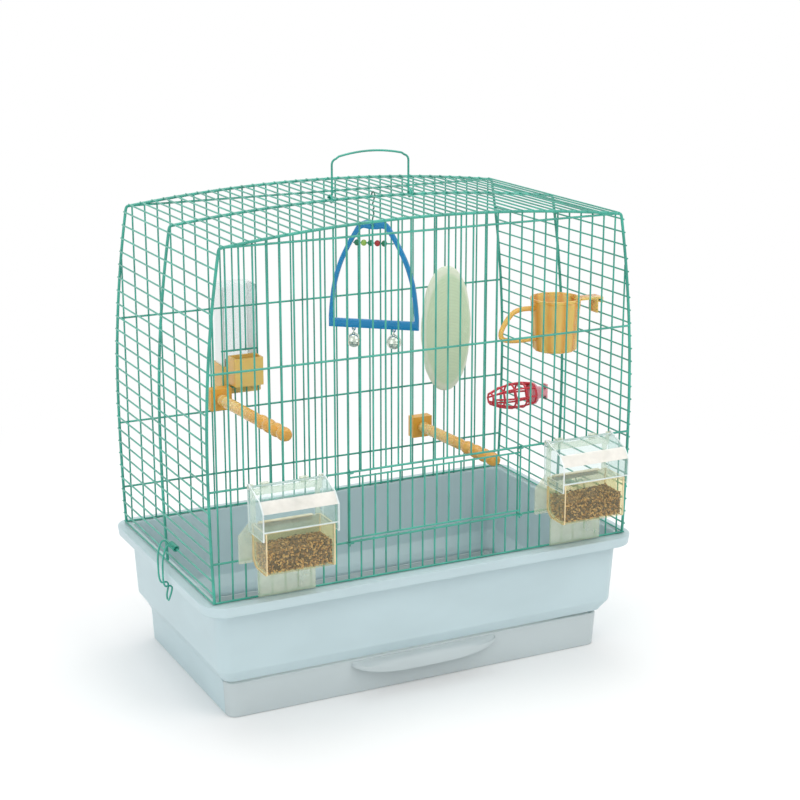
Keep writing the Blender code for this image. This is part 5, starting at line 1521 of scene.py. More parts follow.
@dataclass
class Drawer:
    """The drawer: a wide front with a hooded pull, and a shallow tray."""

    lift: float = 0.0003
    top_z: float = 0.037
    thick: float = 0.0022
    split_y: float = -0.105
    half_x: float = 0.2114
    half_y: float = 0.117
    taper: float = 0.0457
    corner: float = 0.010
    tray_half_x: float = 0.2074
    tray_back: float = 0.113
    tray_top: float = 0.0335
    tray_wall: float = 0.0018
    pull_half: float = 0.0825
    pull_x: float = 0.0025
    pull_out: float = 0.011
    pull_top: float = 0.0355
    pull_foot: float = 0.0205
    pull_wall: float = 0.0022
    edge: float = 0.0012
    play: float = 0.0003

    def build(self) -> Pieces:
        """Build the drawer as one piece.

        Returns:
            The piece.
        """
        solid = Solid()
        edge, foot = self.edge, self.edge / 2.0
        levels = [(self.lift, foot), (self.lift + foot, 0.0), (self.top_z - edge, 0.0)]
        levels += [(self.top_z - edge / 3.0, edge / 3.0), (self.top_z, edge)]
        solid.loft([self.front_ring(z, inset) for z, inset in levels])
        self.tray(solid)
        self.pull(solid)
        return [solid.piece("drawer_body", "drawer", [Finish.DRAWER], ["drawer"], smooth=34.0)]

    def front_ring(self, z: float, inset: float) -> List[Point]:
        """Outline of the front plate, which wraps around both corners.

        Args:
            z: height of the ring.
            inset: how far the outer skin is drawn in.

        Returns:
            The ring's points.
        """
        grown_x, grown_y = self.half_x + self.taper * z, self.half_y + self.taper * z
        back = self.split_y - self.play
        outer, inner = [], []
        for skin, depth in ((outer, inset), (inner, self.thick)):
            skin.append((depth - grown_x, back))
            for start, sign in ((180.0, -1.0), (270.0, 1.0)):
                centre = (sign * (grown_x - self.corner), self.corner - grown_y)
                skin += arc(centre, self.corner - depth, start, start + 90.0, 12)
            skin.append((grown_x - depth, back))
        return [(x, y, z) for x, y in outer + inner[::-1]]

    def tray(self, solid: Solid) -> None:
        """The tray behind the front, with rounded inner corners.

        Args:
            solid: the mesh it is added to.
        """
        front = -self.half_y + self.thick / 2.0
        centre = (0.0, (front + self.tray_back) / 2.0)
        half_y = (self.tray_back - front) / 2.0
        wall = self.tray_wall
        profile = [
            (self.tray_half_x - 2.6 * wall, half_y - wall, 0.0025),
            (self.tray_half_x - wall, half_y, 0.0040),
            (self.tray_half_x, half_y, self.tray_top - 0.0006),
            (self.tray_half_x - 0.0005, half_y - 0.0005, self.tray_top),
            (self.tray_half_x - wall, half_y - wall, self.tray_top - 0.0002),
            (self.tray_half_x - 2.0 * wall, half_y - 1.2 * wall, 0.0066),
            (self.tray_half_x - 3.4 * wall, half_y - 2.4 * wall, 0.0045),
        ]
        corner = self.corner - 0.002
        for index, (x, y, z) in enumerate(profile):
            profile[index] = rounded_rect(x, y, corner - (0.0 if index else 0.002), z, centre, 8)
        solid.loft(profile)

    def pull(self, solid: Solid) -> None:
        """The hooded pull: a lip that is deepest in the middle, hollow below.

        Args:
            solid: the mesh it is added to.
        """
        stations = 41
        root = -self.half_y - self.taper * self.pull_top + 0.0012
        rings = []
        for index in range(stations):
            share = sin((-1.0 + 2.0 * index / (stations - 1)) * pi / 2.0)
            swell = max(1.0 - abs(share) ** 7, 0.0) ** 0.55
            out = 0.0012 + (self.pull_out + 0.0002) * swell
            foot = self.pull_foot + 0.0105 * abs(share) ** 3.2
            rings.append(self.pull_ring(self.pull_x + share * self.pull_half, root, out, foot))
        solid.loft(rings)

    def pull_ring(self, x: float, root: float, out: float, foot: float) -> List[Point]:
        """Section of the pull: over the top, down the front, and back up inside.

        Args:
            x: place of the section.
            root: y of the drawer's face.
            out: how far it stands out.
            foot: height of its lower edge.

        Returns:
            The ring's points.
        """
        top = self.pull_top
        drop = top - foot
        wall = min(self.pull_wall, out * 0.45)
        outer = [(0.0, top), (0.35, top - 0.0004), (0.62, top - 0.0016), (0.82, top - 0.0036)]
        outer += [(0.95, top - drop * 0.42), (1.0, top - drop * 0.66), (0.985, foot + 0.0006), (0.94, foot)]
        points = [(root - out * share, z) for share, z in outer]
        inner = [(root - out * 0.94 + wall * 0.9, foot), (root - out * 0.95 + wall, top - drop * 0.5)]
        inner += [(root - out * 0.6 + wall * 0.4, top - wall * 1.15), (root, top - wall)]
        return [(x, y, max(z, foot)) for y, z in points + inner]


@dataclass
class Feeder:
    """One feeder: the clear back plate, the seed cup, the seed and the hinged hood."""

    name: str
    centre_x: float
    seed: int
    floor_h: float = 0.0362
    level_h: float = 0.0605
    half_x: float = 0.0336
    front_y: float = -0.1698
    back_y: float = -0.1385
    back_radius: float = 0.0105
    spacing: float = 0.0021
    wall: float = 0.0015
    cup_half: float = 0.0357
    cup_front: float = -0.1716
    cup_back: float = -0.1367
    cup_foot: float = 0.035
    cup_top: float = 0.077
    cup_radius: float = 0.012
    cup_nose: float = 0.002
    hook_half: float = 0.028
    hood_half: float = 0.0392
    hood_front: float = -0.1738
    hood_foot: float = 0.070
    lip_h: float = 0.0785
    bend_h: float = 0.097
    bend_y: float = -0.1653
    roof_h: float = 0.1073
    roof_y: float = -0.1417
    roof_top: float = 0.11616
    pivot_y: float = -0.1381
    pivot_h: float = 0.1142
    ear_r: float = 0.0031
    hole_r: float = 0.0019
    sill_h: float = 0.0754
    hook_foot: float = 0.0704
    hook_near: float = -0.1342
    hook_far: float = -0.1328
    edge: float = 0.0003
    core: float = 0.0016
    inset: float = 0.0011

    def build(self) -> Pieces:
        """Build the feeder's pieces."""
        plate = carry(f"feeder_plate_{self.name}", Finish.PLATE, 0.0004)
        return [plate, self.cup(), self.hood(), self.grains()]

    def cup_line(self, inset: float) -> List[Flat]:
        """Section of the cup from its front rim round the foot to its rear rim.

        Args:
            inset: how far inside the outer skin it lies.

        Returns:
            (y, z) points.
        """
        front, back = self.cup_front + inset, self.cup_back - inset
        foot, top = RIM_Z + self.cup_foot + inset, RIM_Z + self.cup_top
        nose, heel = max(self.cup_nose - inset, MM * 0.5), self.cup_radius - inset
        line = [(front, top), *arc((front + nose, foot + nose), nose, 180.0, 270.0, 3)]
        return [*line, *arc((back - heel, foot + heel), heel, 270.0, 360.0, 8), (back, top)]

    def cup(self) -> Piece:
        """The seed cup: a bent sheet, two end walls and the hook over the plate's sill.

        Returns:
            The piece.
        """
        outer, inner = self.cup_line(0.0), self.cup_line(self.wall)
        reach = self.cup_half - self.wall
        solid = Solid()
        skins = [0] * (len(outer) - 1)
        solid.sheet(outer, inner, (self.centre_x - reach, self.centre_x + reach), skins, 1)
        for low in (self.centre_x - self.cup_half, self.centre_x + reach):
            solid.prism(outer, "x", low, low + self.wall, cap=0)
        sill, drop, top = (RIM_Z + h for h in (self.sill_h, self.hook_foot, self.cup_top))
        near, far, back = self.hook_near, self.hook_far, self.cup_back
        hook = [(back, sill), (near, sill), (near, drop), (far, drop), (far, top), (back, top)]
        solid.prism(hook, "x", self.centre_x - self.hook_half, self.centre_x + self.hook_half, cap=0)
        # The cup's rims and narrow sides carry a painted highlight.
        name, finishes = f"feeder_cup_{self.name}", [Finish.CUP, Finish.CUP_EDGE]
        return solid.piece(f"{name}_clear", "cage", finishes, [name], bevel=self.edge, smooth=30.0)

    def hood(self) -> Piece:
        """The hinged hood: a sheet with a painted highlight on its bend, and two side walls with round ears.

        Returns:
            The piece.
        """
        thick = self.wall
        pivot = (self.pivot_y, RIM_Z + self.pivot_h)
        outer = [(self.roof_y, self.roof_top), (self.bend_y, self.roof_h)]
        line_h = self.lip_h + MM
        outer += [(self.hood_front, h) for h in (self.bend_h, line_h, self.lip_h)]
        fold_y, fold_h = self.bend_y + thick / 3.0, self.roof_h - thick * 1.07
        inner = [(self.roof_y, self.roof_top - thick * 1.17), (fold_y, fold_h)]
        inner += [(self.hood_front + thick, h) for h in (self.bend_h - thick * 0.4, line_h, self.lip_h)]
        outer, inner = ([(y, RIM_Z + h) for y, h in line] for line in (outer, inner))
        reach = self.hood_half - thick
        solid = Solid()
        # The bend's stretch, the lowest strip and the narrow sides carry painted highlights.
        solid.sheet(outer, inner, (self.centre_x - reach, self.centre_x + reach), (0, 2, 0, 1), 1)
        foot = RIM_Z + self.hood_foot
        wall = [*arc(pivot, self.ear_r, 110.0, 110.0, 1)[:1], outer[1], outer[2], (self.hood_front, foot)]
        wall += [(self.pivot_y + self.ear_r * 0.4, foot), (self.pivot_y + self.ear_r, pivot[1])]
        wall += arc(pivot, self.ear_r - MM * 0.2, 0.0, -250.0, 10)
        for low in (self.centre_x - self.hood_half, self.centre_x + reach):
            # The side walls' narrow faces and the ears carry the painted edge highlight.
            solid.finish_index = 1
            solid.prism(wall, "x", low, low + thick, cap=0)
            ring = [(0.0, self.hole_r), (0.0, self.ear_r), (thick, self.ear_r), (thick, self.hole_r)]
            solid.turned((low, *pivot), (1.0, 0.0, 0.0), ring, 24, loop=True)
        finishes = [Finish.HOOD, Finish.EDGE, Finish.BEND]
        body, node = f"hood_{self.name}", f"feeder_hood_{self.name}"
        return solid.piece(f"{node}_clear", body, finishes, [node], bevel=self.edge, smooth=30.0)

    def heap_h(self, x: float, y: float) -> float:
        """Height of the seed's uneven top at a point.

        Args:
            x: place of the point.
            y: its other place.

        Returns:
            The height above the rim.
        """
        u = (x - self.centre_x) / self.half_x
        v = (y - self.front_y) / (self.back_y - self.front_y)
        tilt = 0.0026 * u * (1.0 if self.name == "right" else 0.8)
        mound = 0.0018 * cos(2.2 * (u - 0.25)) * cos(1.6 * (v - 0.4))
        dip = 0.0009 * sin(5.0 * u + self.seed) * sin(4.0 * v)
        return self.level_h - 0.0016 + tilt + mound + dip

    def grains(self) -> Piece:
        """The seed: a dark core with single grains all over what the cup shows.

        Returns:
            The piece.
        """
        chance = random.Random(self.seed)
        solid = Solid()
        inset = self.core
        radius = self.back_radius - inset
        low = RIM_Z + self.floor_h + inset
        high = RIM_Z + self.level_h - 0.0042
        front, back = self.front_y + inset, self.back_y - inset
        outline = [(back, high), (front, high), (front, low)]
        outline += arc((back - radius, low + radius), radius, 270.0, 360.0, 6)
        solid.prism(outline, "x", self.centre_x - self.half_x + inset, self.centre_x + self.half_x - inset)
        for spot, normal in self.spots(chance):
            slim = chance.uniform(0.0007, 0.0011)
            length = slim * chance.uniform(1.2, 1.9)
            lean = Vector([chance.uniform(-1, 1) for _ in range(3)]) + normal * chance.uniform(-0.2, 0.2)
            lean = (lean - normal * lean.dot(normal) * 0.75).normalized()
            turn = Vector((0, 0, 1)).rotation_difference(lean)
            solid.blob(spot, Vector((slim, slim * 0.85, length)), turn, 6)
        node = f"seed_{self.name}"
        return solid.piece(f"seed_grains_{self.name}", "cage", [Finish.SEED], [node], smooth=70.0)

    def spots(self, chance: random.Random) -> List[Tuple[Vector, Vector]]:
        """Where grains lie.

        Args:
            chance: the source of random numbers.

        Returns:
            (place, outward direction) pairs on the top, the front, the back and both ends, within the
            cup's round lower back.
        """

        def cells(low: float, span: float) -> List[float]:
            """Middles of the cells along a span."""
            return [low + (cell + 0.5) * self.spacing for cell in range(int(span / self.spacing))]

        def wobble() -> float:
            """A share of the spacing."""
            return chance.uniform(-0.45, 0.45) * self.spacing

        made = []
        levels = cells(self.floor_h, self.level_h - self.floor_h)
        for x in cells(self.centre_x - self.half_x, 2.0 * self.half_x):
            for y in cells(self.front_y, self.back_y - self.front_y):
                spot = self.kept(Vector((x + wobble(), y + wobble(), 0.0)))
                spot.z = RIM_Z + self.heap_h(spot.x, spot.y) - chance.uniform(0.0004, 0.0016)
                made.append((spot, Vector((0, 0, 1))))
            for h in levels:
                for y, normal in ((self.front_y, Vector((0, -1, 0))), (self.back_y, Vector((0, 1, 0)))):
                    if y == self.back_y and h < self.floor_h + self.back_radius:
                        continue
                    spot = Vector((x + wobble(), y, RIM_Z + h + wobble()))
                    made.append((self.kept(spot), normal))
        for y in cells(self.front_y, self.back_y - self.front_y):
            for h in levels:
                back, over = y - self.back_y + self.back_radius, h - self.floor_h - self.back_radius
                if back >= 0.0 >= over and hypot(back, over) > self.back_radius - 0.0012:
                    continue
                for sign in (-1.0, 1.0):
                    spot = Vector((self.centre_x + sign * self.half_x, y + wobble(), RIM_Z + h + wobble()))
                    made.append((self.kept(spot), Vector((sign, 0, 0))))
        return made

    def kept(self, spot: Vector) -> Vector:
        """The spot moved inside the cup's walls.

        Args:
            spot: a point.

        Returns:
            The moved point.
        """
        reach, inset = self.half_x - self.inset, self.inset
        x = min(max(spot.x, self.centre_x - reach), self.centre_x + reach)
        y = min(max(spot.y, self.front_y + inset), self.back_y - inset)
        z = max(spot.z, RIM_Z + self.floor_h + inset) if spot.z else 0.0
        return Vector((x, y, z))


@dataclass
class Drinker:
    """The drinker: a clear bottle in an amber base with a trough."""

    x: float = -0.090
    half_x: float = 0.0205
    near_y: float = 0.1390
    far_y: float = 0.1715
    foot_h: float = 0.1305
    top_h: float = 0.248
    wall: float = 0.0014
    corner: float = 0.0047

    def build(self) -> Pieces:
        """Build the bottle and dress the base.

        Returns:
            The pieces.
        """
        centre = (self.x, (self.near_y + self.far_y) / 2.0)
        half_y = (self.far_y - self.near_y) / 2.0
        low, high = RIM_Z + self.foot_h, RIM_Z + self.top_h
        inside = high - self.wall
        profile = [(0.0, low), (0.0, high - 0.006), (0.0008, high - 0.0028), (0.0026, high - 0.0008)]
        profile.append((0.0056, high))
        inner = [(0.0056, inside), (0.0030, inside - 0.0010), (self.wall + 0.0006, inside - 0.0032)]
        inner += [(self.wall, high - 0.008), (self.wall, low)]
        rings = []
        for inset, z in profile + inner:
            corner = max(self.corner - inset * 0.7, 0.0016)
            rings.append(rounded_rect(self.half_x - inset, half_y - inset, corner, z, centre, 6))
        solid = Solid()
        drawn = [[solid.body.verts.new(point) for point in ring] for ring in rings]
        outer, inner = drawn[: len(profile)], drawn[len(profile) :]
        for skin, lid in ((outer, outer[-1]), (inner, inner[0])):
            for first, second in zip(skin, skin[1:]):
                solid.bridge(first, second)
            solid.face(lid)
        solid.bridge(inner[-1], outer[0])
        bottle = solid.piece("bottle", "cage", [Finish.BOTTLE], ["drinker_bottle"], smooth=50.0)
        return [bottle, carry("drinker_base", Finish.AMBER, 0.0006)]


@dataclass
class Perch:
    """A perch that stands out from the rear panel: a ribbed shaft with bulbs towards its tip."""

    name: str
    x: float
    h: float
    length: float
    tilt: float = radians(2.3)
    shaft_r: float = 0.0062
    bulb_r: float = 0.0074
    tenon_r: float = 0.0045
    tenon: float = 0.008
    mouth_y: float = 0.12

    def build(self) -> Pieces:
        """Build the perch and dress its socket.

        Returns:
            The pieces.
        """
        direction = Vector((0.0, -cos(self.tilt), sin(self.tilt)))
        shoulder = Vector((self.x, self.mouth_y - 0.0006, RIM_Z + self.h))
        start = shoulder - direction * self.tenon
        profile = [(0.0, self.tenon_r), (self.tenon, self.tenon_r), (self.tenon, self.shaft_r - 0.0006)]
        profile.append((self.tenon + 0.0007, self.shaft_r))
        ribs_end = self.length * 0.56
        along = self.tenon + 0.005
        while along < ribs_end - 0.004:
            profile += [(along, self.shaft_r), (along + 0.0009, self.shaft_r - 0.0009)]
            profile += [(along + 0.0021, self.shaft_r - 0.0009), (along + 0.0030, self.shaft_r)]
            along += 0.0110
        profile.append((ribs_end, self.shaft_r))
        bulb_start = self.length * 0.60
        bulb = (self.length - bulb_start) / 4.0
        waist = self.shaft_r * 0.76
        for number in range(4):
            for step in range(8):
                share = step / 8.0
                swell = (self.bulb_r - waist) * sin(pi * share) ** 0.8
                profile.append((bulb_start + bulb * (number + share), waist + swell))
        profile += [(self.length - 0.0006, self.shaft_r * 0.80), (self.length, self.shaft_r * 0.62)]
        perch = Solid().turned(start, direction, profile, 28).piece(
            f"perch_{self.name}_rod", "cage", [Finish.PERCH], [f"perch_{self.name}"], smooth=36.0
        )
        return [perch, carry(f"perch_socket_{self.name}", Finish.ORANGE, 0.0010)]


@dataclass
class Swing:
    """The swing: a wavy wire hook, an arched frame, a rod of beads and two bells."""

    arch: Arch
    x: float = 0.003
    yaw: float = radians(-40.0)
    hook_r: float = 0.0008
    ring_r: float = 0.0036
    half_thick: float = 0.0025
    apex_h: float = 0.3315
    foot_h: float = 0.2185
    sill_h: float = 0.2275
    hole_h: float = 0.3265
    rod_h: float = 0.308
    rod_half: float = 0.0213
    bead_r: float = 0.0033
    bead_pitch: float = 0.0072
    bell_offset: float = 0.0215
    bell_r: float = 0.008
    bead_shift: float = -0.003
    eye_r: float = 0.00165
    eye_wire: float = 0.00055
    eye_drop: float = 0.00121
    edge: float = 0.0009
    neck: float = 0.0012
    shell: float = 0.0007
    seam: float = 0.00042
    slot: float = 0.16
    slot_end: float = 0.26

    def point(self, along: float, h: float, off: float = 0.0) -> Vector:
        """A point from the swing's own plane.

        Args:
            along: distance along the bar.
            h: height above the rim.
            off: distance off the plane.

        Returns:
            The point.
        """
        bar = Vector((cos(self.yaw), sin(self.yaw), 0.0))
        face = Vector((-sin(self.yaw), cos(self.yaw), 0.0))
        return Vector((self.x, 0.0, RIM_Z + h)) + bar * along + face * off

    def build(self) -> Pieces:
        """Build everything that swings.

        Returns:
            The pieces.
        """
        made = [self.hook(), self.frame_piece(), self.rod()]
        green, lime, red = Finish.GREEN_BEAD, Finish.LIME_BEAD, Finish.RED_BEAD
        for number, finish in enumerate((green, lime, green, red, green), start=1):
            made.append(self.bead(number, finish, (number - 3.0) * self.bead_pitch + self.bead_shift))
        made += [self.bell("left", -1.0), self.bell("right", 1.0)]
        return made

    def hook(self) -> Piece:
        """The hook: a ring over the middle hoop, a wavy stem and a bend through the frame's hole.

        Returns:
            The piece.
        """
        hoop_z = RIM_Z + self.arch.roof_h(self.x)
        ring = arc((0.0, hoop_z), self.ring_r, -35.0, 215.0, 20)
        path = [Vector((self.x, y, z)) for y, z in ring]
        stem = [(-0.0009, -0.0048), (0.0, -0.0070), (0.0016, -0.0092), (-0.0016, -0.0124)]
        stem += [(0.0016, -0.0156), (-0.0012, -0.0186)]
        path += [Vector((self.x, y, hoop_z + drop)) for y, drop in stem]
        front = -self.half_thick - self.hook_r - 0.0006
        path.append(self.point(0.0, self.apex_h + 0.0020, front * 0.8))
        for drop, off in ((0.0012, 1.0), (0.0, 0.7), (0.0, -0.7), (0.0012, -1.0), (0.0032, -1.0)):
            path.append(self.point(0.0, self.hole_h + drop, front * off))
        smooth = path[:20] + smooth_line(path[20:], 4)
        solid = Solid().tube(smooth, self.hook_r, 8)
        return solid.piece("swing_wire", "swing", [Finish.DARK_WIRE], ["swing_hook"])

    def frame_piece(self) -> Piece:
        """The arched blue frame with a rounded section, and the eyelets for the bells.

        Returns:
            The piece.
        """
        top = self.apex_h
        outer = [(0.0080, top), (0.0155, top - 0.0035), (0.0225, 0.3170), (0.0295, 0.3045)]
        outer += [(0.0375, 0.2870), (0.0435, 0.2670), (0.0465, 0.2470), (0.0480, 0.2300)]
        inner = [(0.0040, top - 0.0090), (0.0118, top - 0.0085), (0.0184, 0.3145), (0.0252, 0.3025)]
        inner += [(0.0331, 0.2855), (0.0390, 0.2660), (0.0420, 0.2465), (0.0434, 0.2310)]
        loops = []
        for half, foot in ((outer, (0.0480, self.foot_h)), (inner, (0.0434, self.sill_h))):
            line = [tuple(spot) for spot in smooth_line(half, 4)] + [foot]
            loops.append(line + [(-a, h) for a, h in reversed(line)])
        skin, core = self.half_thick, self.half_thick - self.edge
        section = [(0.0, -core), (0.18, -skin), (0.82, -skin), (1.0, -core)]
        section += [(share, -off) for share, off in reversed(section)]
        rings = []
        for share, off in section:
            spots = [Vector(a) * (1.0 - share) + Vector(b) * share for a, b in zip(*loops)]
            rings.append([self.point(spot.x, spot.y, off) for spot in spots])
        solid = Solid().loft(rings, loop=True)
        hole = self.point(0.0, self.hole_h)
        face = self.point(0.0, 0.0, 1.0) - self.point(0.0, 0.0)
        for off in (-self.half_thick, self.half_thick):
            solid.torus(hole + face * off, face, 0.0019, 0.00035, 6, 18)
        solid.finish_index = 1
        depth = self.half_thick + 0.00012
        solid.turned(hole - face * depth, face, [(0.0, 0.0015), (2 * depth, 0.0015)], 16)
        solid.finish_index = 0
        for sign in (-1.0, 1.0):
            eye = self.point(sign * self.bell_offset, self.foot_h - self.eye_drop)
            solid.torus(eye, face, self.eye_r, self.eye_wire, 8, 18)
        finishes = [Finish.BLUE, Finish.GREEN_BEAD]
        return solid.piece("swing_frame_body", "swing", finishes, ["swing_frame"], smooth=46.0)

    def rod(self) -> Piece:
        """The wire that carries the beads."""
        ends = [self.point(along, self.rod_h) for along in (-self.rod_half, self.rod_half)]
        return Solid().tube(ends, 0.0008, 10).piece("bead_wire", "swing", [Finish.WIRE], ["swing_bead_rod"])

    def bead(self, number: int, finish: Finish, along: float) -> Piece:
        """One round bead with a bored middle.

        Args:
            number: its number from the left.
            finish: its colour.
            along: its place on the rod.

        Returns:
            The piece.
        """
        bore = 0.0011
        angles = [pi * (0.11 + 0.78 * step / 10) for step in range(11)]
        profile = [(-self.bead_r * 0.92 * cos(angle), self.bead_r * sin(angle)) for angle in angles]
        profile = [(profile[0][0] + 0.0002, bore), *profile, (profile[-1][0] - 0.0002, bore)]
        bar = self.point(1.0, 0.0) - self.point(0.0, 0.0)
        solid = Solid().turned(self.point(along, self.rod_h), bar, profile, 20, loop=True)
        return solid.piece(f"bead_{number}_round", "swing", [finish], [f"bead_{number}"], smooth=60.0)

    def bell(self, name: str, sign: float) -> Piece:
        """One round bell: two pressed halves with a seam, a slot between two holes, and its eye.

        Args:
            name: left or right.
            sign: -1 or 1 along the bar.

        Returns:
            The piece.
        """
        pivot = self.point(sign * self.bell_offset, self.foot_h - self.eye_drop - self.eye_r)
        centre = pivot - Vector((0.0, 0.0, self.eye_r + self.neck + self.bell_r))
        bar = self.point(1.0, 0.0) - self.point(0.0, 0.0)
        solid = Solid()
        sides, levels = 32, 26
        rings: List[List[bmesh.types.BMVert]] = []
        for shell, inset in ((0, 0.0), (1, self.shell)):
            for level in range(levels + 1):
                angle = radians(5.0 + 170.0 * level / levels)
                seam = self.seam * exp(-(((degrees(angle) - 90.0) / 3.2) ** 2))
                radius = self.bell_r - 0.0004 - inset + seam * (1 - shell)
                ring = []
                for turn in turns(sides):
                    out = Vector((cos(turn), sin(turn), 0.0)) * sin(angle)
                    out.z = cos(angle)
                    ring.append(solid.body.verts.new(centre + out * radius))
                rings.append(ring)
        half = levels + 1
        first_open = int(levels * 0.70)
        cut = set()
        for level in range(first_open, levels):
            width = self.slot_end if level < first_open + 3 else self.slot
            for side in range(sides):
                aside = abs(sin((side + 0.5) * TAU / sides))
                if aside * sin(radians(5.0 + 170.0 * (level + 0.5) / levels)) < width:
                    cut.add((level, side))
        for level in range(levels):
            for side in range(sides):
                after = (side + 1) % sides
                here = (level, side) in cut
                if not here:
                    for base in (0, half):
                        low, high = rings[base + level], rings[base + level + 1]
                        solid.face((low[side], low[after], high[after], high[side]))
                below = level + 1 == levels or (level + 1, side) in cut
                corner = (level + 1, after)
                edges = (((level, after) in cut, (level, after)), (below, (level + 1, side)))
                for gone, spot in edges:
                    if gone != here:
                        wall = ((spot, 0), (corner, 0), (corner, half), (spot, half))
                        solid.face([rings[base + row][place] for (row, place), base in wall])
        for base in (0, half):
            solid.face(rings[base])
        solid.torus(pivot, bar, self.eye_r, self.eye_wire, 8, 20)
        stem = [(0.0, 0.0006), (self.neck * 0.6, 0.0007), (self.neck + 0.0001, 0.0017)]
        stem.append((self.neck + 0.0008, 0.0024))
        solid.turned(centre + Vector((0, 0, self.bell_r + self.neck + 0.0002)), (0, 0, -1), stem, 14)
        solid.blob(centre - Vector((0, 0, self.bell_r * 0.42)), Vector((0.0021, 0.0021, 0.0021)), sides=12)
        return solid.piece(f"bell_{name}_round", f"bell_{name}", [Finish.BELL], [f"bell_{name}"], smooth=50.0)


@dataclass
class Cuttlebone:
    """The cuttlebone: a long pointed oval, domed in front and flatter behind, on its white clip."""

    x: float = BONE_X
    half_x: float = BONE_HALF[0]
    middle_h: float = BONE_H
    half_h: float = BONE_HALF[1]
    thick: float = 0.014
    back_y: float = 0.1282

    def build(self) -> Pieces:
        """Build the bone and dress the clip.

        Returns:
            The pieces.
        """
        solid = Solid()
        rows, sides = 48, 48
        middle_y = self.back_y - self.thick * 0.32
        rings = []
        for index in range(1, rows):
            angle = pi * index / rows
            width = self.half_x * sin(angle) ** 0.9
            lump = 1.0 + 0.012 * sin(9.0 * angle) + 0.006 * sin(23.0 * angle)
            ring = []
            for turn in turns(sides):
                bulge = sin(turn)
                share = 0.70 if bulge > 0 else -0.30
                depth = self.thick * share * sin(angle) ** 0.7 * abs(bulge) ** 0.85
                x = self.x + width * lump * cos(turn)
                h = self.middle_h + self.half_h * cos(angle)
                ring.append((x, middle_y - depth, RIM_Z + h))
            rings.append(ring)
        drawn = [[solid.body.verts.new(point) for point in ring] for ring in rings]
        for first, second in zip(drawn, drawn[1:]):
            solid.bridge(first, second)
        for ring, sign in ((drawn[0], 1.0), (drawn[-1], -1.0)):
            tip = solid.body.verts.new((self.x, middle_y, RIM_Z + self.middle_h + sign * self.half_h))
            for side in range(sides):
                solid.face((ring[side], ring[(side + 1) % sides], tip))
        bone = solid.piece("cuttlebone_body", "cage", [Finish.BONE], ["cuttlebone"], smooth=80.0)
        return [bone, carry("cuttlebone_clip", Finish.WHITE, 0.0004)]


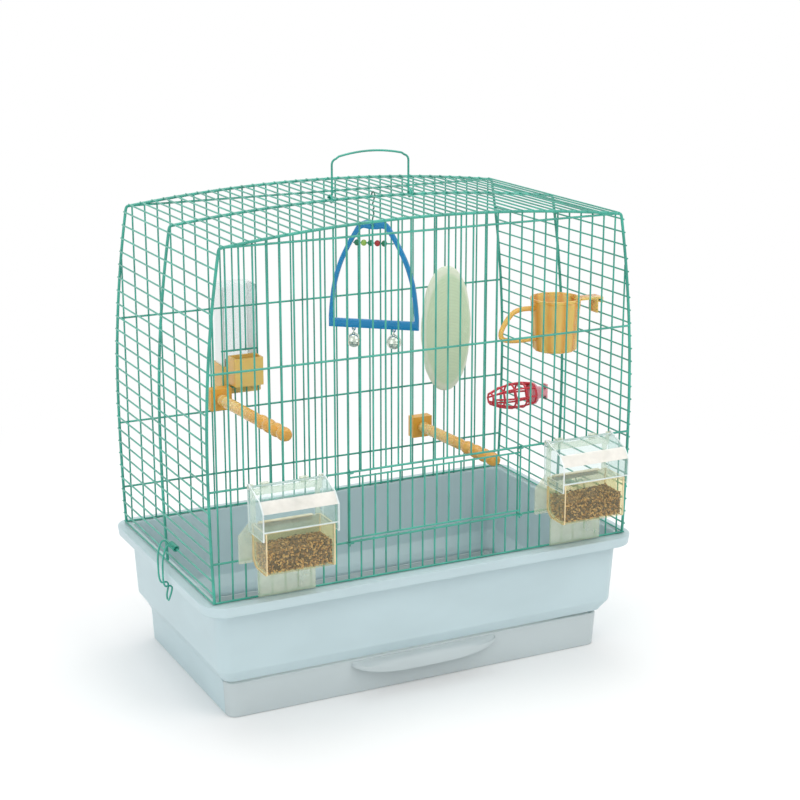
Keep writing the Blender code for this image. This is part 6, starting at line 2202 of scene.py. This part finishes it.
@dataclass
class TreatCup:
    """The fluted amber cup with its loop and the tab that hooks over a side wire."""

    arch: Arch
    x: float = TREAT_X
    y: float = TREAT_Y
    foot_h: float = 0.192
    top_h: float = 0.248
    top_r: float = 0.0265
    foot_r: float = 0.0228
    wall: float = 0.0018
    flutes: int = FLUTES
    flute_depth: float = 0.0015
    loop_r: float = 0.0026
    tab_half: float = 0.008
    tab_thick: float = 0.0018
    tab_row: int = 7
    tab_root: float = 0.228
    tab_gap: float = 0.0021
    tab_tongue: float = 0.005
    edge: float = 0.0006

    def wall_ring(self, h: float, radius: float, depth: float) -> List[Point]:
        """Ring of the fluted wall.

        Args:
            h: height of the ring.
            radius: radius on the flutes' crests.
            depth: depth of the grooves between the flutes.

        Returns:
            The ring's points.
        """
        ring = []
        for angle in turns(self.flutes * 10):
            r = radius - depth * (1.0 - abs(cos(self.flutes * angle / 2.0))) ** 1.3
            ring.append((self.x + r * cos(angle), self.y + r * sin(angle), RIM_Z + h))
        return ring

    def radius_at(self, h: float) -> float:
        """Outer radius of the wall at a height."""
        share = (h - self.foot_h) / (self.top_h - self.foot_h)
        return self.foot_r + (self.top_r - self.foot_r) * share

    def build(self) -> Pieces:
        """Build the cup, its loop and its tab as one piece.

        Returns:
            The piece.
        """
        solid = Solid()
        foot, top, rim = self.foot_h, self.top_h, self.top_h - 0.0032
        bore = self.foot_r - self.wall - self.flute_depth
        # (height, radius, share of the flutes' depth) up the outside, over the rim and down the inside.
        profile = [
            (foot, self.foot_r - 0.0022, 0.4),
            (foot + 0.0006, self.foot_r - 0.0008, 0.8),
            (foot + 0.0018, self.radius_at(foot + 0.0018), 1.0),
            (rim - 0.0016, self.radius_at(rim - 0.0016), 1.0),
            (rim, self.radius_at(rim), 0.3),
            (rim + 0.0006, self.top_r + 0.0004, 0.0),
            (top - 0.0006, self.top_r + 0.0004, 0.0),
            (top, self.top_r - 0.0002, 0.0),
            (top, self.top_r - self.wall + 0.0003, 0.0),
            (top - 0.0006, self.top_r - self.wall - 0.0002, 0.0),
            (foot + 0.004, bore, 0.0),
            (foot + 0.0024, bore - 0.002, 0.0),
        ]
        solid.loft([self.wall_ring(h, radius, self.flute_depth * share) for h, radius, share in profile])
        loop = [(0.1555, 0.2385), (0.1400, 0.2390), (0.1290, 0.2360), (0.1205, 0.2270), (0.1150, 0.2165)]
        loop += [(0.1165, 0.2100), (0.1250, 0.2070), (0.1400, 0.2060), (0.1570, 0.2065)]
        solid.tube([(p.x, self.y, RIM_Z + p.y) for p in smooth_line(loop, 5)], self.loop_r, 14)
        self.tab(solid)
        return [solid.piece("treat_cup_body", "cage", [Finish.FLUTES], ["treat_cup"], smooth=40.0)]

    def tab(self, solid: Solid) -> None:
        """The tab: out from the rim, over the wire and down outside it.

        Args:
            solid: the mesh it is added to.
        """
        row_h = self.arch.side_h(self.tab_row)
        panel = self.arch.leg_x(row_h)
        over = row_h + 0.0009 + 0.0006
        inner, outer = panel - self.tab_gap, panel + self.tab_gap
        root = self.x + self.top_r - 2.2 * self.wall
        thick = self.tab_thick
        back, tongue = inner - thick, over - self.tab_tongue
        outline = [(root, over), (back, over), (back, self.tab_root), (inner, self.tab_root)]
        outline += [(inner, over), (outer, over), (outer, tongue), (outer + thick, tongue)]
        outline += [(outer + thick, over + thick), (root, over + thick)]
        soft = [Vector(p) for p in soft_corners([(x, RIM_Z + h) for x, h in outline], 0.0007, 2)]
        middle = Vector((sum(p.x for p in soft) / len(soft), sum(p.y for p in soft) / len(soft)))
        half, edge = self.tab_half, self.edge
        rings = []
        for y, inset in ((-half, edge), (edge - half, 0.0), (half - edge, 0.0), (half, edge)):
            kept = [p - (p - middle).normalized() * inset * 0.4 for p in soft]
            rings.append([(p.x, self.y + y, p.y) for p in kept])
        solid.loft(rings)


@dataclass
class TreatHolder:
    """The red lattice basket that points inwards, and the pink plug that holds it on the side."""

    arch: Arch
    y: float = 0.040
    gap_row: int = 17
    ribs: int = 8
    rib_r: float = 0.0011
    # (place, radius) of the basket's hoops, from its nose to the plug.
    stations: Tuple[Flat, ...] = (
        (0.166, 0.0062),
        (0.178, 0.0110),
        (0.191, 0.0138),
        (0.205, 0.0140),
        (0.218, 0.0118),
    )

    def build(self) -> Pieces:
        """Build the basket and dress the plug.

        Returns:
            The pieces.
        """
        z = RIM_Z + self.arch.side_h(self.gap_row - 0.5)
        solid = Solid()
        axis = Vector((1.0, 0.0, 0.0))
        for x, radius in self.stations:
            solid.torus(Vector((x, self.y, z)), axis, radius, self.rib_r, 8, 40)
        line = smooth_line(self.stations, 5)
        for angle in turns(self.ribs):
            path = [(p.x, self.y + p.y * cos(angle), z + p.y * sin(angle)) for p in line]
            solid.tube(path, self.rib_r, 8)
            for x, radius in self.stations:
                spot = Vector((x, self.y + radius * cos(angle), z + radius * sin(angle)))
                solid.blob(spot, Vector((0.0015, 0.0013, 0.0013)), sides=8)
        basket = solid.piece("treat_basket", "cage", [Finish.RED], ["treat_holder"], smooth=60.0)
        return [basket, carry("treat_holder_plug", Finish.PINK, 0.0004)]


@dataclass
class Studio:
    """Floor, lights, world and the camera at the photograph's angle."""

    eye: Point = (-0.7810, -1.6348, 0.7661)
    ahead: Point = (0.43011, 0.86336, -0.26385)
    lens: float = 80.56
    sensor: float = 36.0
    sky: float = 0.76
    floor_reach: float = 6.0
    aim: Point = (0.0, 0.0, 0.22)

    def build(self) -> None:
        """Set the stage."""
        self.camera()
        self.floor()
        self.world()
        self.lamp("key", (0.9, -1.5, 1.9), 12.5, 1.5, (1.0, 0.99, 0.97))
        self.lamp("left_fill", (-1.9, -0.9, 1.1), 8.0, 1.6, (0.97, 0.99, 1.0))
        self.lamp("top", (0.1, 0.5, 2.3), 19.0, 1.8, (1.0, 1.0, 1.0))
        bpy.context.scene.view_settings.view_transform = "Standard"

    def camera(self) -> None:
        """The camera, where the photograph was taken from."""
        data = bpy.data.cameras.new("photo_camera")
        data.lens = self.lens
        data.sensor_width = self.sensor
        data.clip_start = 0.05
        data.clip_end = 50.0
        made = link("photo_camera", data)
        made.location = self.eye
        self.point_at(made, Vector(self.ahead))
        bpy.context.scene.camera = made

    @staticmethod
    def point_at(made: Piece, direction: Vector) -> None:
        """Turn a camera or lamp to look along a direction.

        Args:
            made: the camera or lamp.
            direction: where it looks.
        """
        made.rotation_mode = "QUATERNION"
        made.rotation_quaternion = direction.to_track_quat("-Z", "Y")

    def floor(self) -> None:
        """A wide pale floor."""
        reach = self.floor_reach
        corners = [(x * reach, y * reach, 0.0) for x, y in ((-1, -1), (1, -1), (1, 1), (-1, 1))]
        mesh = bpy.data.meshes.new("floor")
        mesh.from_pydata(corners, [], [(0, 1, 2, 3)])
        mesh.materials.append(Finish.FLOOR.material())
        link("floor", mesh)

    def world(self) -> None:
        """White to the camera, to gloss and through glass, and softer as light."""
        world = bpy.data.worlds.new("studio")
        tree = Tree(world)
        level = tree.seen() * (1.0 - self.sky) + self.sky
        back = tree.node("Background", sockets={"Color": paint(255, 255, 255), "Strength": level})
        tree.node("OutputWorld", sockets={"Surface": back})
        bpy.context.scene.world = world

    def lamp(self, name: str, place: Point, power: float, size: float, colour: Point) -> None:
        """One soft square lamp that looks at the cage.

        Args:
            name: its name.
            place: where it hangs.
            power: its power in watts.
            size: length of its sides.
            colour: colour of its light.
        """
        data = bpy.data.lights.new(name, "AREA")
        data.energy = power
        data.size = size
        data.color = colour
        made = link(name, data)
        made.location = place
        self.point_at(made, Vector(self.aim) - Vector(place))


def main() -> None:
    """Build every sub-assembly in order, log its pieces, and set the stage."""
    logging.basicConfig(level=logging.INFO, format="%(name)s: %(message)s")
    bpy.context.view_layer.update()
    arch = Arch()
    assemblies = [
        Tub(),
        Drawer(),
        WireBody(arch),
        Door(arch),
        Handle(arch),
        Latch(arch, "left", -1.0),
        Latch(arch, "right", 1.0),
        Feeder("left", -0.15594, 11),
        Feeder("right", 0.1695, 12),
        Drinker(),
        Perch("left", -9 * arch.pitch, 0.1275, 0.190),
        Perch("right", 9 * arch.pitch, 0.0655, 0.180),
        Swing(arch),
        Cuttlebone(),
        TreatCup(arch),
        TreatHolder(arch),
    ]
    for assembly in assemblies:
        for made in assembly.build():
            log.info("%s: %s, %d faces", type(assembly).__name__, made.name, len(made.data.polygons))
    Studio().build()


if __name__ == "__main__":
    main()
